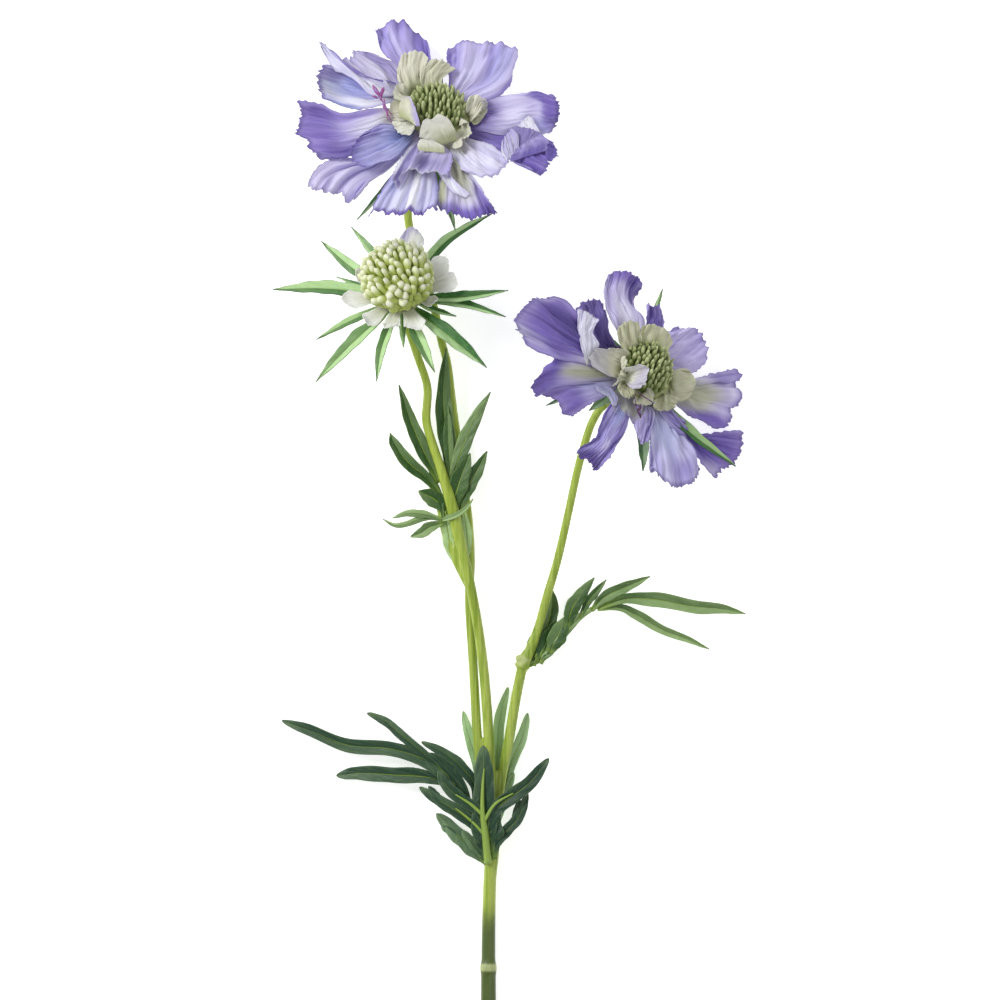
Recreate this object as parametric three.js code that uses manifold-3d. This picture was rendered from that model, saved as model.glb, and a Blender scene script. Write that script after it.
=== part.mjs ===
// A cut spray of scabiosa lying on a table: a main stem that forks into three branches,
// two open blooms and one budding head, with lobed leaves at the stem's nodes.
//
// Millimetres, +Z up, the table at z = 0. X runs across the spray, Y along it towards the
// blooms. Plan positions are measured from the middle of the drawing; LAYOUT_CENTRE is
// taken off at the end, so that the model stands on the middle of its own footprint.

import * as THREE from 'three';
import { mergeVertices } from 'three/addons/utils/BufferGeometryUtils.js';
import Module from 'manifold-3d';

const wasm = await Module();
wasm.setup();

// ---- driving dimensions ----

const LAYOUT_CENTRE = [3.03, -22.53];
const GAP = 0.3; // clearance between neighbouring pieces
const PETAL_THICKNESS = 0.6;
const BLADE_THICKNESS = 0.7;
const STEM_SIDES = 8; // a flat side faces down
const GRAIN_TAPER = 0.55; // a floret's top as a share of its foot

const LOOKS = {
  stem: { color: '#8a9a3a', roughness: 0.55 },
  leaf: { color: '#466a55', roughness: 0.6 },
  bract: { color: '#7fae62', roughness: 0.6 },
  petal: { color: '#9a8fcb', roughness: 0.7 },
  cream: { color: '#d5d3cc', roughness: 0.7 },
  button: { color: '#8a9160', roughness: 0.65 },
  bud: { color: '#c5ca9f', roughness: 0.6 },
};

// Stem lines, each row [x, y, z, radius]; the last rows of a branch come from its head.
const TRUNK = [
  [-3.5, -190, 2.0787, 2.25], [-3.5, -160, 2.0787, 2.25], [-3.5, -144, 2.4, 2.15],
  [-3.5, -142.2, 2.6, 2.5], [-3.5, -141, 2.6, 2.5], [-3.5, -139, 2.5, 2],
  [-3.4, -127.5, 2.5, 1.95], [-3, -114, 2.6, 1.85], [-2.4, -107, 2.9, 2.05],
  [-2.1, -101, 3, 1.9],
];
const BRANCH_LEFT = [
  [-3, -108.6, 2.7, 1.2], [-4.8, -93, 3.3, 1.35], [-6.6, -75, 3.6, 1.4],
  [-8.1, -49.8, 4, 1.35], [-9.3, -30, 4.4, 1.3], [-9, -18, 4.5, 1.4],
  [-9.6, -6, 4.6, 1.35], [-11.1, 6, 4.8, 1.2], [-12.3, 15.3, 5, 1.2],
  [-13.8, 24.9, 5.2, 1.2], [-15, 34.5, 5.4, 1.2], [-15.9, 41.1, 5.6, 1.25],
  [-17.7, 48, 5.8, 1.2], [-20.4, 60, 6.2, 1.2], [-24.4, 72, 6.8, 1.2],
  [-27.6, 84, 7.8, 1.25], [-27, 95, 9.6, 1.3],
];
const BRANCH_MIDDLE = [
  [-2.4, -108.6, 3.1, 1.2], [-2.6, -90, 4.2, 1.4], [-3.2, -75, 5, 1.5],
  [-5.1, -49.8, 7, 1.4], [-8.1, -30, 8.2, 1.3], [-11.4, -15, 8.6, 1.3],
  [-12.9, -9.9, 8.7, 1.5], [-14.1, -3, 8.8, 1.35], [-16.8, 5.4, 9, 1.25],
  [-18, 9.9, 9, 1.25], [-20.7, 18, 9.1, 1.25], [-22.2, 24, 9.2, 1.25],
  [-21.8, 33, 9.2, 1.25], [-22.5, 36.6, 9.2, 1.2], [-24.6, 42.6, 9.2, 1.2],
  [-26.4, 48, 9.4, 1.2], [-28.2, 53.1, 10.2, 1.2],
];
const BRANCH_RIGHT = [
  [-1.8, -108.6, 2.7, 1.2], [0, -87, 3.6, 1.4], [2.8, -72, 4.2, 1.5],
  [4.8, -60, 4.8, 1.5], [6.5, -51.6, 5.4, 1.5], [7, -49.4, 5.5, 2],
  [7.9, -47.4, 5.6, 1.9], [9.2, -45, 5.8, 1.4], [11.7, -38.1, 6.2, 1.3],
  [14.1, -29.4, 6.6, 1.3], [17.4, -18, 7, 1.25], [20.5, -4.5, 7.3, 1.2],
  [23.4, 9, 7.6, 1.2], [25, 15, 7.8, 1.2], [27.4, 22.5, 8, 1.2],
  [29.8, 27, 8.2, 1.25], [32.6, 30, 8.7, 1.3],
];
// The sheath of the upper leaves, beside the middle branch.
const SHEATH = [
  [-18.4, -2.4, 5.4, 0.8], [-16.8, -7.5, 5.6, 1.5], [-14.8, -14, 6.2, 1.6],
  [-12, -21, 7.2, 1.2], [-9.4, -27, 8.1, 0.8],
];
const STEM_RUN_IN = [-14, -10]; // heights below a head where its stem straightens up
const STEM_END = -6.9;

// Heads: middle of the disc, lean from upright and the direction leaned to, in degrees.
const HEADS = {
  bloom_1: { at: [-19, 115, 23.87], lean: 40, toward: 75 },
  bloom_2: { at: [42.4, 38.5, 18.92], lean: 38, toward: 27 },
  bud: { at: [-30, 63, 22], lean: 30, toward: 95 },
};

// Outer petals by their edges, points [x, y, height] in the head's frame: the claw's azimuth
// and width, both sides from the claw outwards as seen from the head's middle, the tip from
// right to left, and the heights of the pleats from right to left.
const OUTER_PETALS = {
  bloom_1: [
    { foot: [113, 3.2],
      right: [[-0.2, 11.5, 1.5], [-1.4, 18.7, 1.5]],
      tip: [[-2.7, 29.5, -0.7], [-4.3, 34.3, -2], [-7.4, 36.1, -2.4], [-10.4, 38.1, -2.4],
        [-14.4, 36.4, -2.1], [-17.6, 33.4, -1.1], [-19, 30.4, 0.1]],
      left: [[-7.2, 9.7, 1.5], [-12.5, 15.9, 2.3], [-16.5, 21.4, 2.3]],
      folds: [-0.2, -1, -0.2, 1, 1.2, 0.2, -0.3] },
    { foot: [52, 4],
      right: [[11.1, 6.4, 1.5], [17.5, 7.6, 3.1], [21.8, 13.5, 3.1]],
      tip: [[23.9, 22.5, 1.5], [23.2, 28.2, 1.9], [20, 29.9, 2.7], [16.7, 30.6, 2.3],
        [13.1, 29.2, 2.3], [9, 29, 2.7], [5.4, 27.2, 2.3], [3.1, 24.3, 1.5]],
      left: [[3.3, 11, 0.9], [3.4, 14, 2.1]],
      folds: [-0.6, 0.9, 0.2, -0.9, 0.6, -0.5, 0.8, -0.4, 0.3] },
    { foot: [2, 4],
      right: [[13.6, -5, 1.1], [20.2, -5.9, 1.9], [27.5, -2.4, 1.9], [31.5, -3.5, 1.5]],
      tip: [[34.2, -2.3, 1.5], [35.6, 0.9, 2.3], [36.2, 4.7, 2.7], [36.3, 8.3, 2.3],
        [35.1, 13, 0.4]],
      left: [[14.2, 7.2, 1.1], [20.4, 9.5, 2.3], [25.5, 10.7, 2.7], [30.6, 13.4, 1.5]],
      folds: [-0.5, 0.4, 1, 0.2, -0.6, 0.5, 0] },
    { foot: [-30, 3],
      right: [[12.5, -10.5, 0.4], [18.9, -13.3, 1.9], [22.4, -17.8, 3.1]],
      tip: [[27.7, -20.9, 3.8], [29.8, -21.8, 3.8], [32.1, -20.1, 4.6], [32.9, -15.8, 3.4],
        [35.1, -15.3, 4.6], [34.7, -12, 5.4], [33.5, -8.1, 3.8]],
      left: [[13.7, -5.1, 0.4], [19.6, -6.8, 1.9], [23, -4.1, 3.1], [28.2, -5.9, 4.6]],
      folds: [0.5, -1.2, 0.8, 1, -0.9, 0.6, 0.2] },
    { foot: [-44, 4],
      right: [[4.6, -17.2, 1.1], [7.5, -21.9, 1.5]],
      tip: [[11.2, -22.6, 1.1], [14.8, -23.2, 1.5], [18.1, -21.1, 1.5], [20.2, -18, 1.9],
        [20.5, -13.9, 1.9]],
      left: [[8.7, -11.7, 1.5], [14.7, -12, 1.9]],
      folds: [0, 0.5, -0.4, 0.5, -0.3, 0.4] },
    { foot: [-75, 3.6],
      right: [[2.3, -18.5, 0.4], [1.1, -27.4, 0.4]],
      tip: [[0.6, -35.8, 0], [3.5, -38.4, 0.8], [6.1, -37.9, 1.5], [8.6, -39.3, 0.8],
        [10.7, -40.5, 1.1], [13.6, -38.8, 1.5], [16.1, -36.5, 1.1], [18, -38.1, 2.3]],
      left: [[6.4, -16.6, 0.8], [10.9, -23.4, 1.1], [14.8, -31.1, 1.5]],
      folds: [0.3, 0.6, -0.8, -0.2, 0.9, 0.2, -0.4, 0.2] },
    { foot: [-107, 4.4],
      right: [[-8.4, -15.9, 1.1], [-13.7, -27.5, 1.1], [-17.2, -34.8, 0.8]],
      tip: [[-19.7, -41.5, 0.4], [-17.1, -41.1, 0.8], [-14.1, -41.2, 0.9],
        [-10.8, -41.3, 0.8], [-7.9, -39.5, 0.9], [-5.1, -40.1, 0.8], [-2.2, -38.2, 0.9],
        [0.2, -37.4, 0.8]],
      left: [[-0.8, -18.5, 0.8], [0.4, -28, 0.9]],
      folds: [0, -0.6, 0.9, -0.2, 1, -1, 0.9, -1, 1, 0] },
    { foot: [-103, 4],
      right: [[-7.6, -13.8, 1.5], [-10.8, -21.5, 3.4]],
      tip: [[-13.6, -29, 4.2], [-12.2, -31.7, 3.4], [-10.2, -29.3, 3.8], [-7.4, -26, 4.6],
        [-4.2, -26.1, 3.8], [-0, -25.8, 3.8], [2.7, -27.4, 3.8]],
      left: [[2.1, -12.3, 1.5], [4.2, -18.5, 3.4]],
      folds: [0, -0.6, 0.6, 0.9, -0.8, 0.5, 0.5, 0] },
    { foot: [-137, 4],
      right: [[-13.3, -15.3, -0.4], [-22.2, -19.2, -1.1], [-30.6, -21.2, -1.1],
        [-35.4, -25.8, -0.4]],
      tip: [[-38.1, -32, 0.4], [-36.8, -34.6, -0], [-33.4, -33.9, -0.8], [-30.8, -34.9, 0],
        [-28.3, -33.9, -0.8], [-26, -37.4, 0], [-23.6, -35.9, 0]],
      left: [[-10.3, -17.3, -0.4], [-15, -24.3, -0.4], [-19.8, -29.4, 0]],
      folds: [0, 0.7, -0.5, 0.8, -0.8, 0.7, -0.7, 0.4] },
    { foot: [-155, 3.6],
      right: [[-11.9, -7.7, 1.7], [-16.9, -8.9, 3.1]],
      tip: [[-21.8, -13.1, 3.8], [-24.7, -17.6, 3.4], [-25.5, -21.8, 3.1],
        [-23.3, -25.5, 2.7], [-20, -26.5, 3.1]],
      left: [[-9.7, -15.8, 1.7], [-14.3, -21.8, 2.7]],
      folds: [0.3, 0.8, 0, -0.4, 0.4, 0.1] },
    { foot: [-178, 4.2],
      right: [[-14.8, 0.3, 0.8], [-23.3, -2.5, 1.1], [-29.4, -4.6, 1.5], [-35.6, -2.6, 2.3]],
      tip: [[-42, -2.7, 2.7], [-40.6, -5.4, 1.9], [-40.8, -9.9, 1.5], [-41.3, -14.8, 1.5],
        [-38.5, -16.4, 1.1], [-37.2, -20.3, 0.8], [-34.7, -22.4, 0.4]],
      left: [[-12.6, -9, 0.8], [-20.1, -15.9, 0.9], [-27.5, -21.1, 0.6]],
      folds: [0.2, -0.6, 0.6, 0.2, -0.3, 0.5, -0.2, 0] },
    { foot: [160, 3],
      right: [[-13.2, 7.9, 1.5], [-20, 7.8, 2.3], [-26.7, 10.5, 2.3]],
      tip: [[-33.9, 14.1, 1.5], [-35.6, 10.5, 1.1], [-35.2, 5.7, 1.1], [-34.3, 1.5, 1.5],
        [-31.6, -0.5, 1.5]],
      left: [[-13.1, 1.6, 1.4], [-22.2, -1.9, 1.5], [-27, -1.8, 1.5]],
      folds: [0.2, -0.6, 0.7, 0.1, -0.5, 0.2] },
    { foot: [152, 1.8],
      right: [[-11.4, 8.9, 1.7], [-22.1, 9, 4.2], [-28.4, 12.7, 5.4]],
      tip: [[-33, 17.2, 5], [-36, 20, 4.6], [-35.2, 17.1, 3.8]],
      left: [[-12, 3.9, 1.7], [-20.3, 2.6, 2.7], [-26.2, 8.3, 3.4], [-32, 12.2, 3.1]],
      folds: [0.8, -0.4, 0.8] },
    { foot: [138, 3.4],
      right: [[-9, 10.9, 1.7], [-13.2, 16.3, 3.1], [-17.3, 17.4, 3.4]],
      tip: [[-21.5, 19.2, 3.4], [-24.5, 19.5, 3.1], [-26.9, 15.5, 3.4], [-29.7, 14.3, 3.8]],
      left: [[-11.4, 4, 1.7], [-17.6, 4.5, 2.8], [-23.8, 9.5, 3.4]],
      folds: [0.2, -0.4, 0.6, -0.2, 0.3] },
  ],
  bloom_2: [
    { foot: [112, 3.4],
      right: [[0.7, 10.8, 1.6], [-0.1, 16.2, 2.4], [-3.6, 19.6, 1.6], [-4.1, 22.4, 2.4]],
      tip: [[-1.7, 26.2, 3.2], [-2.9, 28.1, 2.4], [-5.6, 29.3, 2], [-9.3, 29.3, 1.6],
        [-12.6, 27.3, 1.6], [-14.1, 24.7, 1.6]],
      left: [[-9.1, 8.4, 1.6], [-12.5, 13.2, 2.4], [-15, 19.5, 2.4]],
      folds: [-0.8, 0.3, 0.8, 0.2, -0.2, 0.4] },
    { foot: [80, 2.2],
      right: [[7.5, 11.1, 0.2], [7.2, 16.3, 0.8]],
      tip: [[6.1, 21.5, 0.8], [3.7, 20.9, 1.1], [1.4, 21.2, 0.8]],
      left: [[3.2, 10.2, 0.2], [1.7, 15.4, 0.8]],
      folds: [0, 0.5, -0.2, 0.3] },
    { foot: [31, 4],
      right: [[13.3, 1, 1.2], [18.6, 3.6, 1.6]],
      tip: [[22.9, 7.8, 1.2], [22.4, 12.1, 1.6], [20.2, 15.8, 1.6], [17.6, 16.9, 1.6],
        [14.7, 16.3, 1.6], [12, 16.2, 1.2]],
      left: [[5.9, 9.7, 0.4], [8.5, 13.8, 1.4]],
      folds: [0, 0.4, -0.2, 0.3, 0.4, -0.2] },
    { foot: [-5, 4],
      right: [[12, -8.4, 0.8], [16.6, -11.6, 1.6], [20.7, -12.2, 2]],
      tip: [[25.3, -13.4, 1.6], [29.1, -12.1, 2], [31, -8.8, 2], [30.7, -5.7, 0.9],
        [33.7, -3.8, 2], [34.5, -0.5, 2.4], [33.3, 2.7, 1.6], [33.6, 4.3, -0.3],
        [34.6, 5, 2.4], [32.2, 6.5, 3.2]],
      left: [[13.3, 0, 1.2], [18.7, 1.1, 2.4], [23.6, 2.9, 2.8]],
      folds: [0.4, -0.8, 0.6, 0.2, -0.5, 0.6, 0] },
    { foot: [-32, 2.6],
      right: [[11.1, -13.2, -0], [16.4, -18.4, -0.4], [22.5, -24.1, -0.8]],
      tip: [[27.5, -27.5, -1.2], [28.8, -24.9, -0.4], [32.3, -22.8, 0.4], [34.7, -19.3, 0.8],
        [35.3, -15.9, 1.6], [34.3, -12.7, 2]],
      left: [[13.7, -11.8, 0.4], [19.6, -16.2, 0.8], [26.5, -14.9, 2]],
      folds: [0, -0.5, 0.8, 0.2, -0.4, 0.3] },
    { foot: [-70, 4],
      right: [[1.8, -13.7, 0.8], [1.5, -22.9, 1.6]],
      tip: [[2.8, -30.2, 1.2], [5.7, -32.5, 1.2], [9.4, -34.1, 1.6], [13.8, -33.6, 1.6],
        [17.5, -31.2, 1.6], [19.7, -27.6, 1.6]],
      left: [[9.1, -11.9, 0.8], [14.3, -18.1, 1.6], [18.7, -23.5, 2]],
      folds: [0.2, -0.3, 0.5, -0.5, 0.6, 0.3, -0.2] },
    { foot: [-121, 3],
      right: [[-12, -13.3, 0.8], [-16.1, -19.8, 1.6], [-17.2, -24.8, 1.6]],
      tip: [[-22.8, -29.1, 0.8], [-22.9, -31.1, 0.9], [-20.4, -32.3, 1.4],
        [-18.8, -34.1, 1.2], [-16.8, -34.9, 0.8]],
      left: [[-4.7, -14.7, 0.8], [-7.8, -21.7, 2], [-12.8, -28.6, 2.4]],
      folds: [0, -0.5, 0.4, 0.6, 0] },
    { foot: [-160, 3.8],
      right: [[-15.5, -1.6, 0.8], [-24.7, -1.8, 1.6], [-31.3, -2.2, 2.4]],
      tip: [[-34.9, -5.1, 2.4], [-38, -9.1, 2.8], [-40.6, -13.6, 2.4], [-38.6, -16.1, 1.6],
        [-33.8, -14.3, 0.8], [-30.9, -16.3, 1.2], [-29.1, -19.1, 1.2], [-26, -19.7, 0.8]],
      left: [[-10.8, -8.9, 0.8], [-15.8, -12.3, 1.2], [-21.2, -15.6, 1.2]],
      folds: [-0.3, 0.6, 0.2, -0.8, 0.6, 0.2] },
    { foot: [163, 4],
      right: [[-15.5, 4.9, 1.4], [-20.8, 8.3, 2.4], [-25.6, 12.1, 3.2], [-29.2, 14.6, 3.2]],
      tip: [[-33.9, 15.5, 3.2], [-38.7, 14.5, 3.9], [-43, 11.4, 3.9], [-45.9, 7.7, 3.5],
        [-47.1, 3.5, 3.2], [-43.7, 1.6, 2.4], [-42.8, -1.3, 2]],
      left: [[-14.5, -2.2, 1.4], [-24, -2.7, 2.8], [-32.9, -3.7, 3.2]],
      folds: [0.2, -0.8, 0.4, 0.9, -0.6, 0.6, -0.2, 0.2] },
    { foot: [132, 3],
      right: [[-10.1, 6, 1.4], [-12.6, 9.5, 2]],
      tip: [[-13.4, 14.6, 1.6], [-16, 17.5, 1.7], [-19.1, 17.8, 2], [-22.3, 16.1, 2],
        [-24.2, 13.6, 1.6]],
      left: [[-15.2, 2.1, 1.4], [-19.4, 5.4, 2.4]],
      folds: [-0.4, 0.6, -0.6, 0.2] },
    { foot: [-92, 2],
      right: [[-1.6, -13.7, 1.6], [-3, -19.2, 2]],
      tip: [[-2.7, -22, 2], [-0.8, -23.6, 2.4], [1.6, -21.4, 2]],
      left: [[2.4, -12.9, 1.6], [2.4, -17.5, 2]],
      folds: [0, 0.3, 0] },
    { foot: [-46, 2],
      right: [[5.1, -11.9, 1.3], [8.6, -15.6, 2]],
      tip: [[12.9, -17.9, 2], [14.1, -16.5, 2.4], [13.4, -14.4, 2.4]],
      left: [[8.4, -10, 1.3], [10.5, -12.1, 2.4]],
      folds: [0, 0.4, 0] },
  ],
};
// Other petals by rows: azimuth, reach and width; height of the tip and of the arch above
// the disc; sideways sweep of the root and roll of the tip in degrees; cup, ruffle and,
// where it differs from the layer's, the bluntness of the edge.
const INNER_PETALS = {
  bloom_1: [
    [120, 17.5, 10, 9, 0, 0, 0, 0.14, 0.8],
    [92, 17, 10, 9.5, 0, 0, 0, 0.14, 0.8],
    [62, 15.5, 9, 8.5, 0, 0, 0, 0.14, 0.7],
    [18, 13.5, 9, 8.5, 1, 0, 10, 0.20, 0.6],
    [-38, 14, 9, 7, 0, 0, 0, 0.20, 0.6],
    [-98, 7.5, 11, 11, 3, 0, 0, 0.18, 0.7],
    [-128, 16, 9, 6, 0, 0, 0, 0.18, 0.6],
    [-172, 15, 11, 7, 0, 0, -8, 0.18, 0.7],
    [152, 15, 8, 7.5, 0, 0, 0, 0.16, 0.6],
  ],
  bloom_2: [
    [134, 16.5, 10, 9, 0, 0, 0, 0.14, 0.8],
    [96, 14, 11, 9.5, 0, 0, 0, 0.14, 0.8],
    [46, 12, 9, 8.5, 0.5, 0, 0, 0.16, 0.6],
    [-12, 13, 10, 7.5, 1, 0, 0, 0.20, 0.6],
    [-64, 12.5, 9, 6.5, 0, 0, 0, 0.20, 0.6],
    [-162, 8, 9, 11, 3, 0, 0, 0.18, 0.7],
    [-116, 14, 9, 5.5, 0, 0, 0, 0.18, 0.6],
    [-176, 20.5, 13, 6, 1, 0, -8, 0.14, 0.8],
    [162, 16, 8, 7.5, 0, 0, 0, 0.16, 0.6],
  ],
};
const RIM_PETALS = [
  [125, 15, 4, 4.5, -2.5, 0, 0, 0.16, 0.3],
  [100, 15, 4, 5.5, -2.5, 0, 0, 0.16, 0.3],
  [78, 16, 6.5, 6, -2.5, 0, 0, 0.18, 0.5],
  [38, 16, 6, 4, -2.5, 0, 0, 0.18, 0.4],
  [12, 17, 6, 4, -2.5, 0, 0, 0.18, 0.4],
  [-20, 15, 4.5, 3, -2.5, 0, 0, 0.18, 0.3],
  [-62, 16, 7, 3.5, -2.5, 0, 0, 0.16, 0.4],
  [-100, 15, 6, 3.5, -2.5, 0, 0, 0.16, 0.4],
  [-132, 16, 6, 3.5, -2.5, 0, 0, 0.16, 0.4],
  [-172, 17, 6.5, 3.5, -2.5, 0, 0, 0.16, 0.4],
  [155, 15.5, 5, 4, -2.5, 0, 0, 0.16, 0.3],
];
// How a layer of petals leaves its head: root radius and height, place of the arch as a
// share of the way out, width of the claw as a share of the petal's, waves across it,
// depth of the lobes and bluntness of the edge.
const LAYERS = {
  outer: { radius: 7.4, height: -1.7 },
  inner: {
    radius: 9.3, height: 1.6, peak: 0.55, claw: 0.45, waves: 1.6, lobe: 0.05, blunt: 0.14,
  },
  rim: { radius: 8.4, height: -2.1, peak: 0.85, claw: 0.5, waves: 1, lobe: 0.05, blunt: 0.25 },
};

// Bract rows: azimuth, reach, width, height of the tip above the disc, sideways bow.
const BRACTS = {
  bloom_1: [
    [-120, 45, 2.6, -6.5, 1], [-80, 39.5, 3.8, -6.5, -1], [-20, 24, 3, -6.5, 0],
    [30, 22, 3, -6, 0], [85, 24, 3, -6, 0], [130, 25, 3, -6.5, 0], [-165, 26, 3, -6.5, 0],
  ],
  bloom_2: [
    [71, 31.5, 3, -3.4, 0], [-158, 33, 3, -6, -1], [-79, 29, 4.6, -6.5, 1],
    [-35, 43.5, 5, -8.5, 2], [25, 22, 3, -6.5, 0], [125, 24, 3, -6, 0], [-120, 22, 3, -6.5, 0],
  ],
  bud: [
    [176.5, 38.5, 5, -2, -2], [158, 21, 1.8, -4.5, 0], [140, 31.5, 4, -4, 1],
    [120, 30.5, 2.8, -6, -1], [43.5, 38.5, 3.6, 0, 4], [-2, 32.5, 3.8, 0, -0.8],
    [-14, 32.5, 3, -4, 2], [-22, 18, 2.2, -5, 0], [-48, 39, 5.2, 2, 0.5],
    [-70, 31, 3.8, 0, 0], [-87, 17.5, 2, -4.5, 0], [-102, 32.5, 3.2, 0, -1.5],
    [-127, 41, 4.4, 2, -1], [-146, 30, 2.8, 0, -1],
  ],
};

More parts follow.
